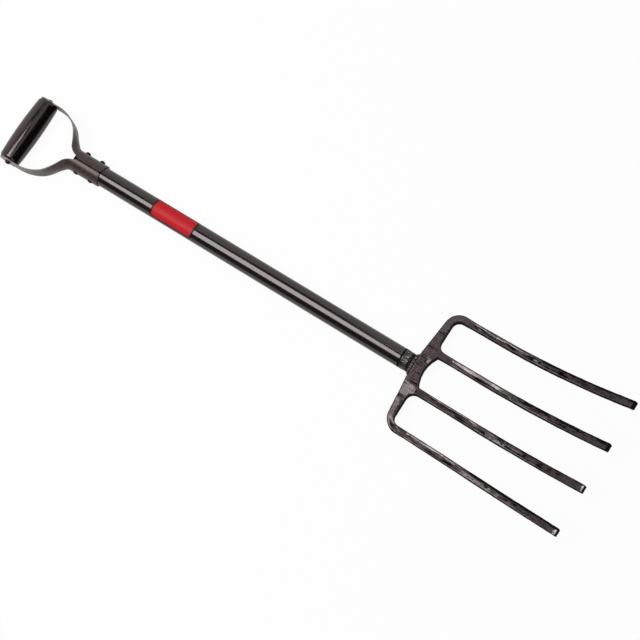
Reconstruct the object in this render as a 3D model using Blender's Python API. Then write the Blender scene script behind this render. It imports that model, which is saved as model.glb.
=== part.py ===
"""Four-tine digging fork with a steel shaft and a D-shaped handle.

Units are metres and +Z is up. The fork lies on its back: +X runs along the shaft from
the handle to the tines and +Y runs along the grip. Every piece is modelled about the
shaft's axis, with x = 0 at the handle end of the tube, and hangs on one empty that
stands the whole fork on the ground, centred on the origin.
"""

import math

import bmesh
import bpy
from mathutils import Vector

# Shaft tube
TUBE_DIAMETER = 0.0300
TUBE_WALL = 0.0015
TUBE_LENGTH = 0.5880

# Handle yoke: two pressed half shells that end in straps
SHEET_THICKNESS = 0.0020
SHANK_LENGTH = 0.0500
SHANK_CORNER_RADIUS = 0.0050
SHANK_SEAM = 0.0010
SPREAD_RADIUS = 0.0130
FLANK_LENGTH = 0.0243
SHOULDER_RADIUS = 0.0654
ARM_LENGTH = 0.0048
FLATTEN_LEAD = 0.0070
FLATTEN_LENGTH = 0.0566
NARROW_LENGTH = 0.0925
STRAP_WIDTH = 0.0198
EYE_DIAMETER = 0.0294

# Grip and the rivet that it turns on
GRIP_LENGTH = 0.1078
GRIP_MIDDLE_DIAMETER = 0.0368
GRIP_END_DIAMETER = 0.0332
GRIP_END_ROUND = 0.0040
GRIP_RIVET_DIAMETER = 0.0060
GRIP_RIVET_HEAD_DIAMETER = 0.0095
GRIP_RIVET_HEAD_HEIGHT = 0.0038

# Rivets through the shank
SHANK_RIVET_DIAMETER = 0.0050
SHANK_RIVET_HEAD_DIAMETER = 0.0088
SHANK_RIVET_HEAD_HEIGHT = 0.0032
SHANK_RIVET_TAIL_DIAMETER = 0.0080
SHANK_RIVET_TAIL_HEIGHT = 0.0014
FRONT_RIVET_EDGE = 0.0130
REAR_RIVET_EDGE = 0.0100

# Neck between the tube and the fork head
PLUG_DEPTH = 0.0450
PLUG_CHAMFER = 0.0020
NECK_TAPER_LENGTH = 0.0037
TUBE_WELD_LEG = 0.0100
HEAD_WELD_LEG = 0.0040
HEAD_WELD_RISE = 0.0012
HEAD_WELD_SETBACK = 0.0002

# Fork head, seen in plan
HEAD_LENGTH = 0.2980
CROSSBAR_DEPTH = 0.0176
SHOULDER_SWEEP = math.radians(5.9)
SHOULDER_CORNER_RADIUS = 0.0234
OUTER_GAP_CORNER_RADIUS = 0.0114
INNER_GAP_CORNER_RADIUS = 0.0117
MIDDLE_GAP_DEPTH = 0.0072
OUTER_TINE_SPACING = 0.1861
INNER_TINE_SPACING = 0.0619
TINE_ROOT_WIDTH = 0.0108
TINE_TIP_WIDTH = 0.0122
OUTER_TINE_SPLAY = 0.0101
INNER_TINE_SPLAY = 0.0028
SPLAY_POWER = 1.65

# Fork head, seen from the side
CROSSBAR_THICKNESS = 0.0160
TINE_ROOT_THICKNESS = 0.0100
TINE_TIP_THICKNESS = 0.0090
TINE_ROOT_REACH = 0.0450
TINE_BEND_START = 0.1076
TINE_BEND_RISE = 0.0456
HEAD_EDGE_ROUND = 0.0010

# Label round the shaft
LABEL_START = 0.1472
LABEL_LENGTH = 0.0760
LABEL_WIDTH = 0.0350
LABEL_CORNER_RADIUS = 0.0050
LABEL_THICKNESS = 0.0002

# Clearances
FIT_GAP = 0.0003
FILM_GAP = 0.00012

# Mesh fineness
TUBE_SIDES = 48
RIVET_SIDES = 20
GRIP_SIDES = 40
GRIP_STEPS = 5
ROUND_STEPS = 4
SHANK_STEPS = 3
SPREAD_STEPS = 5
FLANK_STEPS = 4
SHOULDER_STEPS = 9
ARM_STEPS = 1
WELD_STEPS = 3
ARC_STEP = math.radians(9.0)
FEWEST_ARC_STEPS = 2
SHELL_COLUMNS = 14
LABEL_COLUMNS = 16
TINE_STATIONS = 12
BEVEL_SEGMENTS = 2
SMOOTH_ANGLE = math.radians(35.0)
BEVEL_ANGLE = math.radians(60.0)
EYE_END_ANGLE = math.radians(87.0)
MERGE_DISTANCE = 0.000001

# Sizes that follow from the ones above
TUBE_RADIUS = TUBE_DIAMETER / 2
SHELL_RADIUS = TUBE_RADIUS + FIT_GAP + SHEET_THICKNESS / 2
SHELL_OUTER_RADIUS = SHELL_RADIUS + SHEET_THICKNESS / 2
STRAP_OFFSET = GRIP_LENGTH / 2 + FIT_GAP + SHEET_THICKNESS / 2
STRAP_OUTER_OFFSET = STRAP_OFFSET + SHEET_THICKNESS / 2
STRAP_RISE = STRAP_OFFSET - SHELL_RADIUS
BEND_RADII = SPREAD_RADIUS + SHOULDER_RADIUS
SPREAD_ANGLE = math.acos((BEND_RADII - STRAP_RISE) / math.hypot(BEND_RADII, FLANK_LENGTH))
SPREAD_ANGLE -= math.atan2(FLANK_LENGTH, BEND_RADII)
STRAP_RUN = BEND_RADII * math.sin(SPREAD_ANGLE) + FLANK_LENGTH * math.cos(SPREAD_ANGLE)
GRIP_REACH = STRAP_RUN + ARM_LENGTH + EYE_DIAMETER / 2
PLUG_RADIUS = TUBE_RADIUS - TUBE_WALL - FIT_GAP
NECK_LENGTH = TUBE_WELD_LEG + FIT_GAP + NECK_TAPER_LENGTH + HEAD_WELD_LEG
HEAD_BACK = TUBE_LENGTH + NECK_LENGTH + FIT_GAP
LAND_HALF_WIDTH = PLUG_RADIUS + FIT_GAP + HEAD_WELD_LEG
HEAD_WELD_HALF_HEIGHT = CROSSBAR_THICKNESS / 2 - HEAD_WELD_SETBACK
NECK_END_HALF_HEIGHT = HEAD_WELD_HALF_HEIGHT - HEAD_WELD_RISE - FIT_GAP
CUTTER_LENGTH = 2.0 * TUBE_DIAMETER

# Looks: colour, metallic value and roughness of each piece
BLACK_COAT = ((0.020, 0.018, 0.018, 1.0), 0.0, 0.30)
BROWN_COAT = ((0.095, 0.080, 0.074, 1.0), 0.2, 0.55)
BLACK_LACQUER = ((0.012, 0.011, 0.011, 1.0), 0.0, 0.25)
FORGED_BLACK = ((0.030, 0.027, 0.027, 1.0), 0.3, 0.35)
WELD_METAL = ((0.080, 0.072, 0.068, 1.0), 0.5, 0.40)
RED_FILM = ((0.680, 0.015, 0.020, 1.0), 0.0, 0.35)

X_AXIS = Vector((1.0, 0.0, 0.0))
Y_AXIS = Vector((0.0, 1.0, 0.0))
Z_AXIS = Vector((0.0, 0.0, 1.0))


def clear_scene():
    """Remove every object of the scene."""
    for old in list(bpy.data.objects):
        bpy.data.objects.remove(old, do_unlink=True)


def make_material(name, look):
    """Return a Principled material with the given colour, metallic value and roughness."""
    colour, metallic, roughness = look
    material = bpy.data.materials.new(name)
    material.use_nodes = True
    shader = material.node_tree.nodes["Principled BSDF"]
    shader.inputs["Base Color"].default_value = colour
    shader.inputs["Metallic"].default_value = metallic
    shader.inputs["Roughness"].default_value = roughness
    material.diffuse_color = colour
    return material


def make_object(name, bm, look, parent, place=(0.0, 0.0, 0.0)):
    """Turn a bmesh into a named object that hangs on the parent."""
    bmesh.ops.recalc_face_normals(bm, faces=bm.faces)
    mesh = bpy.data.meshes.new(name)
    bm.to_mesh(mesh)
    bm.free()
    mesh.shade_smooth()
    mesh.set_sharp_from_angle(angle=SMOOTH_ANGLE)
    mesh.materials.append(make_material(name, look))
    piece = bpy.data.objects.new(name, mesh)
    bpy.context.scene.collection.objects.link(piece)
    piece.parent = parent
    piece.location = place
    return piece


def make_empty(name):
    """Return a new empty at the origin."""
    empty = bpy.data.objects.new(name, None)
    bpy.context.scene.collection.objects.link(empty)
    return empty


def turned(profile, axis, side, segments, closed):
    """Spin (along, radius) points about an axis; a closed profile leaves a bore."""
    bm = bmesh.new()
    verts = [bm.verts.new(axis * along + side * radius) for along, radius in profile]
    pairs = list(zip(verts, verts[1:]))
    if closed:
        pairs.append((verts[-1], verts[0]))
    edges = [bm.edges.new(pair) for pair in pairs]
    bmesh.ops.spin(
        bm,
        geom=verts + edges,
        cent=(0.0, 0.0, 0.0),
        axis=axis,
        angle=2.0 * math.pi,
        steps=segments,
        use_merge=True,
    )
    bmesh.ops.remove_doubles(bm, verts=bm.verts, dist=MERGE_DISTANCE)
    return bm


def arc_points(start, end, steps):
    """Return evenly spaced angles from start to end, both included."""
    return [start + (end - start) * i / steps for i in range(steps + 1)]


def arc_steps(sweep):
    """Return the number of straight steps that draw an arc of the given sweep."""
    return max(FEWEST_ARC_STEPS, round(sweep / ARC_STEP))


def grid_surface(rows):
    """Return a bmesh surface through rows of points that all have the same length."""
    bm = bmesh.new()
    grid = [[bm.verts.new(point) for point in row] for row in rows]
    for row, after in zip(grid, grid[1:]):
        for a, b, c, d in zip(row, row[1:], after[1:], after):
            bm.faces.new((a, b, c, d))
    return bm


def closed_ring(sections):
    """Return a closed bmesh ring through sections, each a closed loop of points."""
    bm = bmesh.new()
    loops = [[bm.verts.new(point) for point in section] for section in sections]
    for loop, after in zip(loops, loops[1:] + loops[:1]):
        for i, corner in enumerate(loop):
            follower = (i + 1) % len(loop)
            bm.faces.new((corner, loop[follower], after[follower], after[i]))
    return bm


def add_cutter(target, name, place, radius):
    """Cut a round hole along Y through the target at a point of the shaft's frame."""
    bm = bmesh.new()
    bmesh.ops.create_cone(
        bm,
        cap_ends=True,
        segments=RIVET_SIDES,
        radius1=radius,
        radius2=radius,
        depth=CUTTER_LENGTH,
    )
    mesh = bpy.data.meshes.new(name)
    bm.to_mesh(mesh)
    bm.free()
    cutter = bpy.data.objects.new(name, mesh)
    bpy.context.scene.collection.objects.link(cutter)
    cutter.parent = target.parent
    cutter.location = place
    cutter.rotation_euler = (math.pi / 2, 0.0, 0.0)
    cutter.hide_render = True
    cutter.display_type = "WIRE"
    cut = target.modifiers.new(name, "BOOLEAN")
    cut.operation = "DIFFERENCE"
    cut.object = cutter


def add_thickness(piece, thickness):
    """Thicken a surface by half the thickness on either side."""
    solid = piece.modifiers.new("thickness", "SOLIDIFY")
    solid.thickness = thickness
    solid.offset = 0.0


def shank_rivet_places():
    """Return the shank rivets' places along the shaft, front one first."""
    return (SHANK_LENGTH - FRONT_RIVET_EDGE, REAR_RIVET_EDGE)


def cut_shank_holes(piece):
    """Cut the shank rivets' holes through a piece."""
    for number, along in enumerate(shank_rivet_places(), start=1):
        name = f"{piece.name}_rivet_hole_{number}"
        radius = SHANK_RIVET_DIAMETER / 2 + FIT_GAP
        add_cutter(piece, name, (along, 0.0, 0.0), radius)


def build_shaft_tube(parent):
    """Steel tube from the handle to the neck, drilled for the shank rivets."""
    inner = TUBE_RADIUS - TUBE_WALL
    profile = (
        (0.0, inner),
        (0.0, TUBE_RADIUS),
        (TUBE_LENGTH, TUBE_RADIUS),
        (TUBE_LENGTH, inner),
    )
    bm = turned(profile, X_AXIS, Z_AXIS, TUBE_SIDES, closed=True)
    tube = make_object("shaft_tube", bm, BLACK_COAT, parent)
    cut_shank_holes(tube)


def smooth_step(value):
    """Ease from 0 to 1 as value goes from 0 to 1."""
    value = min(max(value, 0.0), 1.0)
    return value * value * (3.0 - 2.0 * value)


def strap_path():
    """Return the strap's middle line as (travel, x, y, heading) stations.

    The line runs from the shank's free end to the grip's axis. The heading is zero along
    -X and grows as the line turns away from the shaft.
    """
    pieces = (
        (SHANK_CORNER_RADIUS, 0.0, ROUND_STEPS),
        (SHANK_LENGTH - SHANK_CORNER_RADIUS, 0.0, SHANK_STEPS),
        (SPREAD_RADIUS * SPREAD_ANGLE, SPREAD_ANGLE, SPREAD_STEPS),
        (FLANK_LENGTH, 0.0, FLANK_STEPS),
        (SHOULDER_RADIUS * SPREAD_ANGLE, -SPREAD_ANGLE, SHOULDER_STEPS),
        (ARM_LENGTH, 0.0, ARM_STEPS),
        (EYE_DIAMETER / 2, 0.0, ROUND_STEPS),
    )
    travel = 0.0
    x = SHANK_LENGTH
    y = SHELL_RADIUS
    heading = 0.0
    stations = [(travel, x, y, heading)]
    for length, turn, steps in pieces:
        step = length / steps
        turn_step = turn / steps
        chord = step
        if turn:
            chord = 2.0 * step / turn_step * math.sin(turn_step / 2)
        for _ in range(steps):
            x -= chord * math.cos(heading + turn_step / 2)
            y += chord * math.sin(heading + turn_step / 2)
            heading += turn_step
            travel += step
            stations.append((travel, x, y, heading))
    return stations


def strap_section(travel, to_eye):
    """Return half the sheet's flat width and its curvature at a place along the strap."""
    shell_half = SHELL_RADIUS * math.cos(SHANK_SEAM / 2 / SHELL_RADIUS)
    narrowed = smooth_step((travel - SHANK_LENGTH) / NARROW_LENGTH)
    half = shell_half + (STRAP_WIDTH / 2 - shell_half) * narrowed
    flattened = smooth_step((travel - SHANK_LENGTH + FLATTEN_LEAD) / FLATTEN_LENGTH)
    curvature = (1.0 - flattened) / SHELL_RADIUS
    if curvature > 0.0:
        half = math.asin(half * curvature) / curvature
    short = max(0.0, SHANK_CORNER_RADIUS - travel)
    half -= SHANK_CORNER_RADIUS - math.sqrt(SHANK_CORNER_RADIUS**2 - short**2)
    eye = max(0.0, (EYE_DIAMETER / 2) ** 2 - to_eye**2)
    return max(half, math.sqrt(eye)), curvature


def strap_row(x, y, heading, half, curvature, side):
    """Return the points across the sheet at one station of the strap."""
    row = []
    for column in range(SHELL_COLUMNS + 1):
        across = half * (2.0 * column / SHELL_COLUMNS - 1.0)
        inward = 0.0
        height = across
        if curvature > 0.0:
            inward = (1.0 - math.cos(across * curvature)) / curvature
            height = math.sin(across * curvature) / curvature
        along = x - inward * math.sin(heading)
        out = y - inward * math.cos(heading)
        row.append((along, side * out, height))
    return row


def build_yoke(name, parent, side):
    """One half shell of the handle: shank, strap and the eye over the grip's end."""
    stations = strap_path()
    whole = stations[-1][0]
    rows = []
    for travel, x, y, heading in stations:
        half, curvature = strap_section(travel, whole - travel)
        rows.append(strap_row(x, y, heading, half, curvature, side))
    eye = EYE_DIAMETER / 2
    for angle in arc_points(0.0, EYE_END_ANGLE, 2 * ROUND_STEPS)[1:]:
        along = -GRIP_REACH - eye * math.sin(angle)
        rows.append(strap_row(along, STRAP_OFFSET, 0.0, eye * math.cos(angle), 0.0, side))
    yoke = make_object(name, grid_surface(rows), BROWN_COAT, parent)
    add_thickness(yoke, SHEET_THICKNESS)
    cut_shank_holes(yoke)
    radius = GRIP_RIVET_DIAMETER / 2 + FIT_GAP
    place = (-GRIP_REACH, side * STRAP_OFFSET, 0.0)
    add_cutter(yoke, f"{name}_eye_hole", place, radius)


def dome_profile(seat, radius, height, direction):
    """Return a domed rivet head's outline from its rim to its crown."""
    points = []
    for angle in arc_points(0.0, math.pi / 2, ROUND_STEPS):
        points.append((seat + direction * height * math.sin(angle), radius * math.cos(angle)))
    points[-1] = (points[-1][0], 0.0)
    return points


def rivet(seat, shank_diameter, head, tail):
    """Return a rivet along Y with its heads seated at plus and minus the seat."""
    head_diameter, head_height = head
    tail_diameter, tail_height = tail
    profile = list(reversed(dome_profile(-seat, tail_diameter / 2, tail_height, -1.0)))
    profile.append((-seat, shank_diameter / 2))
    profile.append((seat, shank_diameter / 2))
    profile += dome_profile(seat, head_diameter / 2, head_height, 1.0)
    return turned(profile, Y_AXIS, Z_AXIS, RIVET_SIDES, closed=False)


def build_shank_rivets(parent):
    """Two rivets that clamp the half shells on the tube."""
    head = (SHANK_RIVET_HEAD_DIAMETER, SHANK_RIVET_HEAD_HEIGHT)
    tail = (SHANK_RIVET_TAIL_DIAMETER, SHANK_RIVET_TAIL_HEIGHT)
    seat = SHELL_OUTER_RADIUS + FIT_GAP
    names = ("front_shank_rivet", "rear_shank_rivet")
    for name, along in zip(names, shank_rivet_places()):
        bm = rivet(seat, SHANK_RIVET_DIAMETER, head, tail)
        make_object(name, bm, BLACK_COAT, parent, (along, 0.0, 0.0))


def build_grip(parent):
    """Turned barrel grip with a bore for its rivet, with its origin on the axis."""
    bore = GRIP_RIVET_DIAMETER / 2 + FIT_GAP
    half = GRIP_LENGTH / 2
    end_radius = GRIP_END_DIAMETER / 2
    swell = (GRIP_MIDDLE_DIAMETER - GRIP_END_DIAMETER) / 2
    barrel_half = half - GRIP_END_ROUND
    outline = []
    for step in range(-GRIP_STEPS, GRIP_STEPS + 1):
        share = step / GRIP_STEPS
        outline.append((barrel_half * share, end_radius + swell * (1.0 - share**2)))
    rounded_end = []
    for angle in arc_points(0.0, math.pi / 2, ROUND_STEPS)[1:]:
        along = barrel_half + GRIP_END_ROUND * math.sin(angle)
        rounded_end.append((along, end_radius - GRIP_END_ROUND * (1.0 - math.cos(angle))))
    other_end = [(-along, radius) for along, radius in reversed(rounded_end)]
    profile = [(-half, bore)] + other_end + outline + rounded_end + [(half, bore)]
    bm = turned(profile, Y_AXIS, Z_AXIS, GRIP_SIDES, closed=True)
    make_object("grip", bm, BLACK_LACQUER, parent, (-GRIP_REACH, 0.0, 0.0))


def build_grip_rivet(parent):
    """Long rivet through both strap eyes, which the grip turns on."""
    head = (GRIP_RIVET_HEAD_DIAMETER, GRIP_RIVET_HEAD_HEIGHT)
    seat = STRAP_OUTER_OFFSET + FIT_GAP
    bm = rivet(seat, GRIP_RIVET_DIAMETER, head, head)
    make_object("grip_rivet", bm, BLACK_COAT, parent, (-GRIP_REACH, 0.0, 0.0))


def ellipse_point(x, half_width, half_height, angle):
    """Return a point of an ellipse round the shaft's axis."""
    return (x, half_width * math.cos(angle), half_height * math.sin(angle))


def build_neck_plug(parent):
    """Round steel plug in the tube's end, flattened where it meets the crossbar."""
    start = TUBE_LENGTH - PLUG_DEPTH
    end = TUBE_LENGTH + NECK_LENGTH
    flat_start = TUBE_LENGTH + TUBE_WELD_LEG + FIT_GAP
    stations = (
        (start, PLUG_RADIUS - PLUG_CHAMFER, PLUG_RADIUS - PLUG_CHAMFER),
        (start + PLUG_CHAMFER, PLUG_RADIUS, PLUG_RADIUS),
        (flat_start, PLUG_RADIUS, PLUG_RADIUS),
        (end - HEAD_WELD_LEG, PLUG_RADIUS, NECK_END_HALF_HEIGHT),
        (end, PLUG_RADIUS, NECK_END_HALF_HEIGHT),
    )
    angles = arc_points(0.0, 2.0 * math.pi, TUBE_SIDES)[:-1]
    bm = bmesh.new()
    rings = []
    for x, half_width, half_height in stations:
        points = [ellipse_point(x, half_width, half_height, angle) for angle in angles]
        rings.append([bm.verts.new(point) for point in points])
    for ring, after in zip(rings, rings[1:]):
        for i, corner in enumerate(ring):
            follower = (i + 1) % len(ring)
            bm.faces.new((corner, ring[follower], after[follower], after[i]))
    bm.faces.new(rings[0])
    bm.faces.new(rings[-1])
    make_object("neck_plug", bm, FORGED_BLACK, parent)


def weld_ring(seat_x, leg, inner, outer):
    """Return a fillet bead round the neck, whose leg runs along X from a flat face.

    The inner and outer sizes are (half width, half height) of the bead at that face.
    """
    sections = []
    for angle in arc_points(0.0, 2.0 * math.pi, TUBE_SIDES)[:-1]:
        section = [ellipse_point(seat_x, inner[0], inner[1], angle)]
        for bulge in arc_points(0.0, math.pi / 2, WELD_STEPS):
            x = seat_x + leg * math.sin(bulge)
            share = math.cos(bulge)
            half_width = inner[0] + (outer[0] - inner[0]) * share
            half_height = inner[1] + (outer[1] - inner[1]) * share
            section.append(ellipse_point(x, half_width, half_height, angle))
        sections.append(section)
    return closed_ring(sections)


def build_welds(parent):
    """Bead at the tube's end and bead where the neck meets the crossbar."""
    neck = PLUG_RADIUS + FIT_GAP
    tube_seat = TUBE_LENGTH + FIT_GAP
    bm = weld_ring(tube_seat, TUBE_WELD_LEG, (neck, neck), (TUBE_RADIUS, TUBE_RADIUS))
    make_object("tube_weld", bm, WELD_METAL, parent)
    head_seat = HEAD_BACK - FIT_GAP
    inner = (neck, NECK_END_HALF_HEIGHT + FIT_GAP)
    outer = (LAND_HALF_WIDTH, HEAD_WELD_HALF_HEIGHT)
    bm = weld_ring(head_seat, -HEAD_WELD_LEG, inner, outer)
    make_object("head_weld", bm, WELD_METAL, parent)


def fillet(before, corner, after, radius):
    """Return the points of a round corner between two straight edges."""
    to_before = (before - corner).normalized()
    to_after = (after - corner).normalized()
    opening = to_before.angle(to_after)
    reach = radius / math.tan(opening / 2)
    centre = corner + (to_before + to_after).normalized() * radius / math.sin(opening / 2)
    first = corner + to_before * reach - centre
    sweep = math.pi - opening
    turn = -math.copysign(sweep, to_before.cross(to_after).z)
    steps = arc_steps(sweep)
    points = []
    for angle in arc_points(0.0, turn, steps):
        x = first.x * math.cos(angle) - first.y * math.sin(angle)
        y = first.x * math.sin(angle) + first.y * math.cos(angle)
        points.append(centre + Vector((x, y, 0.0)))
    return points


def head_outline():
    """Return one half of the head's plan, from the back's middle to the middle gap."""
    root = TINE_ROOT_WIDTH / 2
    tip = TINE_TIP_WIDTH / 2
    outer = OUTER_TINE_SPACING / 2
    inner = INNER_TINE_SPACING / 2
    shoulder = (outer + root - LAND_HALF_WIDTH) * math.tan(SHOULDER_SWEEP)
    gap_half = inner - root
    corners = (
        (0.0, LAND_HALF_WIDTH, 0.0),
        (shoulder, outer + root, SHOULDER_CORNER_RADIUS),
        (HEAD_LENGTH, outer + tip, 0.0),
        (HEAD_LENGTH, outer - tip, 0.0),
        (CROSSBAR_DEPTH, outer - root, OUTER_GAP_CORNER_RADIUS),
        (CROSSBAR_DEPTH, inner + root, INNER_GAP_CORNER_RADIUS),
        (HEAD_LENGTH, inner + tip, 0.0),
        (HEAD_LENGTH, inner - tip, 0.0),
        (CROSSBAR_DEPTH + MIDDLE_GAP_DEPTH, gap_half, 0.0),
    )
    places = [Vector((x, y, 0.0)) for x, y, _ in corners]
    outline = []
    for i, (_, _, radius) in enumerate(corners):
        if radius > 0.0:
            outline += fillet(places[i - 1], places[i], places[i + 1], radius)
        else:
            outline.append(places[i])
    arc_radius = (gap_half**2 + MIDDLE_GAP_DEPTH**2) / (2.0 * MIDDLE_GAP_DEPTH)
    centre_x = CROSSBAR_DEPTH + arc_radius
    opening = math.asin(gap_half / arc_radius)
    for angle in arc_points(opening, 0.0, arc_steps(opening))[1:]:
        x = centre_x - arc_radius * math.cos(angle)
        outline.append(Vector((x, arc_radius * math.sin(angle), 0.0)))
    return outline


def half_thickness(along):
    """Return half the head's thickness at a distance from its back."""
    crossbar = CROSSBAR_THICKNESS / 2
    root = TINE_ROOT_THICKNESS / 2
    tip = TINE_TIP_THICKNESS / 2
    if along < TINE_ROOT_REACH:
        start = CROSSBAR_DEPTH
        share = smooth_step((along - start) / (TINE_ROOT_REACH - start))
        return crossbar + (root - crossbar) * share
    tine_length = HEAD_LENGTH - TINE_ROOT_REACH
    return root + (tip - root) * (along - TINE_ROOT_REACH) / tine_length


def bend_head(bm):
    """Give the flat head its thickness, and bend and splay its tines."""
    middle = (OUTER_TINE_SPACING + INNER_TINE_SPACING) / 4
    bend_length = HEAD_LENGTH - TINE_BEND_START
    tine_length = HEAD_LENGTH - TINE_ROOT_REACH
    for vert in bm.verts:
        along = vert.co.x
        share = max(0.0, along - TINE_BEND_START) / bend_length
        slope = math.atan(2.0 * TINE_BEND_RISE * share / bend_length)
        offset = math.copysign(half_thickness(along), vert.co.z)
        splay = OUTER_TINE_SPLAY if abs(vert.co.y) > middle else INNER_TINE_SPLAY
        splay *= (max(0.0, along - TINE_ROOT_REACH) / tine_length) ** SPLAY_POWER
        vert.co.x = HEAD_BACK + along - offset * math.sin(slope)
        vert.co.y += math.copysign(splay, vert.co.y)
        vert.co.z = TINE_BEND_RISE * share**2 + offset * math.cos(slope)


def build_fork_head(parent):
    """One-piece forging of the crossbar and the four bent tines."""
    half = head_outline()
    other = [Vector((point.x, -point.y, 0.0)) for point in reversed(half[:-1])]
    bm = bmesh.new()
    bm.faces.new([bm.verts.new(point) for point in half + other])
    stations = [CROSSBAR_DEPTH + MIDDLE_GAP_DEPTH, TINE_ROOT_REACH]
    stations += arc_points(TINE_BEND_START, HEAD_LENGTH, TINE_STATIONS)[:-1]
    for along in stations:
        geometry = bm.verts[:] + bm.edges[:] + bm.faces[:]
        place = (along, 0.0, 0.0)
        bmesh.ops.bisect_plane(
            bm,
            geom=geometry,
            plane_co=place,
            plane_no=X_AXIS,
            dist=MERGE_DISTANCE,
        )
    lower = CROSSBAR_THICKNESS / 2
    bmesh.ops.translate(bm, verts=bm.verts, vec=(0.0, 0.0, -lower))
    grown = bmesh.ops.extrude_face_region(bm, geom=bm.faces[:], use_keep_orig=True)
    raised = [item for item in grown["geom"] if isinstance(item, bmesh.types.BMVert)]
    bmesh.ops.translate(bm, verts=raised, vec=(0.0, 0.0, CROSSBAR_THICKNESS))
    bend_head(bm)
    head = make_object("fork_head", bm, FORGED_BLACK, parent)
    edge = head.modifiers.new("forged_edges", "BEVEL")
    edge.width = HEAD_EDGE_ROUND
    edge.segments = BEVEL_SEGMENTS
    edge.limit_method = "ANGLE"
    edge.angle_limit = BEVEL_ANGLE


def build_label(parent):
    """Thin film wrapped over the front of the shaft, with rounded corners."""
    radius = TUBE_RADIUS + FILM_GAP + LABEL_THICKNESS / 2
    half_length = LABEL_LENGTH / 2
    stations = [0.0]
    for angle in arc_points(0.0, math.pi / 2, ROUND_STEPS)[1:]:
        stations.append(LABEL_CORNER_RADIUS * (1.0 - math.cos(angle)))
    stations += [LABEL_LENGTH - station for station in reversed(stations)]
    rows = []
    for station in stations:
        short = max(0.0, abs(station - half_length) - half_length + LABEL_CORNER_RADIUS)
        half = LABEL_WIDTH / 2 - LABEL_CORNER_RADIUS
        half += math.sqrt(max(LABEL_CORNER_RADIUS**2 - short**2, 0.0))
        row = []
        for column in range(LABEL_COLUMNS + 1):
            across = half * (2.0 * column / LABEL_COLUMNS - 1.0)
            angle = across / radius
            place = (LABEL_START + station, radius * math.sin(angle), radius * math.cos(angle))
            row.append(place)
        rows.append(row)
    label = make_object("shaft_label", grid_surface(rows), RED_FILM, parent)
    add_thickness(label, LABEL_THICKNESS)


def stand_on_ground(fork):
    """Move the fork so that the origin is on the ground under the middle of its box."""
    bpy.context.view_layer.update()
    graph = bpy.context.evaluated_depsgraph_get()
    corners = []
    for piece in fork.children:
        if piece.type == "MESH" and not piece.hide_render:
            solid = piece.evaluated_get(graph)
            corners += [solid.matrix_world @ Vector(corner) for corner in solid.bound_box]
    lowest = [min(corner[i] for corner in corners) for i in range(3)]
    highest = [max(corner[i] for corner in corners) for i in range(3)]
    fork.location.x = -(lowest[0] + highest[0]) / 2
    fork.location.y = -(lowest[1] + highest[1]) / 2
    fork.location.z = -lowest[2]
    bpy.context.view_layer.update()


def main():
    """Build the whole fork."""
    clear_scene()
    fork = make_empty("fork_axis")
    build_shaft_tube(fork)
    build_yoke("left_yoke", fork, 1.0)
    build_yoke("right_yoke", fork, -1.0)
    build_shank_rivets(fork)
    build_grip(fork)
    build_grip_rivet(fork)
    build_neck_plug(fork)
    build_welds(fork)
    build_fork_head(fork)
    build_label(fork)
    stand_on_ground(fork)


main()
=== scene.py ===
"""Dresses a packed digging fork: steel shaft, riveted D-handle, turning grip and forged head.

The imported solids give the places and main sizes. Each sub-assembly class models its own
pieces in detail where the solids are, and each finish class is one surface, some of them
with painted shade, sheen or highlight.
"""

import logging
import math
import random
from collections.abc import Sequence
from dataclasses import dataclass
from enum import Enum
from functools import cached_property
from typing import Any

import bpy
from mathutils import Matrix, Vector

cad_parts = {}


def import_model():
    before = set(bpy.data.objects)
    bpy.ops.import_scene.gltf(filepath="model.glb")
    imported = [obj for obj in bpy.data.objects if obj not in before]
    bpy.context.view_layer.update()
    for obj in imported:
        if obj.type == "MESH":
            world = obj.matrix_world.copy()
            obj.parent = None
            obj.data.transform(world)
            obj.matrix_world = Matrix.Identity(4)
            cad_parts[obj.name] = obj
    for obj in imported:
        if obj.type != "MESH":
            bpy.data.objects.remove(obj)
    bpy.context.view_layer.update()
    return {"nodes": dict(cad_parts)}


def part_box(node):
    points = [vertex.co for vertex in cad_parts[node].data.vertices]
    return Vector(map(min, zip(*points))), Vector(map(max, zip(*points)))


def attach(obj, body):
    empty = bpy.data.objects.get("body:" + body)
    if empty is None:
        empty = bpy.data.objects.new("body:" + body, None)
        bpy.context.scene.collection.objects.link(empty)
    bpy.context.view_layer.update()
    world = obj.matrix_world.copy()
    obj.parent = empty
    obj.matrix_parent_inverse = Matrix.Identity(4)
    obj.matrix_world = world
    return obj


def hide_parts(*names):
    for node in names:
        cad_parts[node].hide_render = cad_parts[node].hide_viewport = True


LOG = logging.getLogger("digging_fork")
MM = 0.001
MERGE_DISTANCE = 0.000001
# WARM_GLOSS and BROWN_GLOSS tint the coats' reflections: they stand in for warm light of the room,
# a painted warmth of light.
WARM_GLOSS = (1.0, 0.90, 0.90, 1.0)
BROWN_GLOSS = (1.0, 0.85, 0.82, 1.0)
WHITE = (1.0, 1.0, 1.0, 1.0)

Outline = Sequence[tuple[float, float]]


class Body(Enum):
    """Moving body that a piece rides on."""

    FRAME = "frame"
    GRIP = "grip"


class Slot(Enum):
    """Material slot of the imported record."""

    POWDER_COAT = "black_powder_coat"
    BROWN_COAT = "brown_coat"
    HARDWOOD = "lacquered_hardwood"
    FORGED = "forged_black"
    WELD = "weld_metal"
    FILM = "red_film"


class Side(Enum):
    """Half of the handle, by the sign of its Y."""

    LEFT = 1.0
    RIGHT = -1.0


class Mark(Enum):
    """Attribute of the head's mesh that its finish reads, from 0 to 1."""

    # Share of painted shade that darkens and dulls the head's sides and ends.
    MATT_SIDE = "matt_side"
    WORN_TIP = "worn_tip"


class Zone(Enum):
    """Vertex group of the head's mesh, by the way its steel was drawn out."""

    CROSSBAR = "crossbar"
    TINES = "tines"


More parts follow.
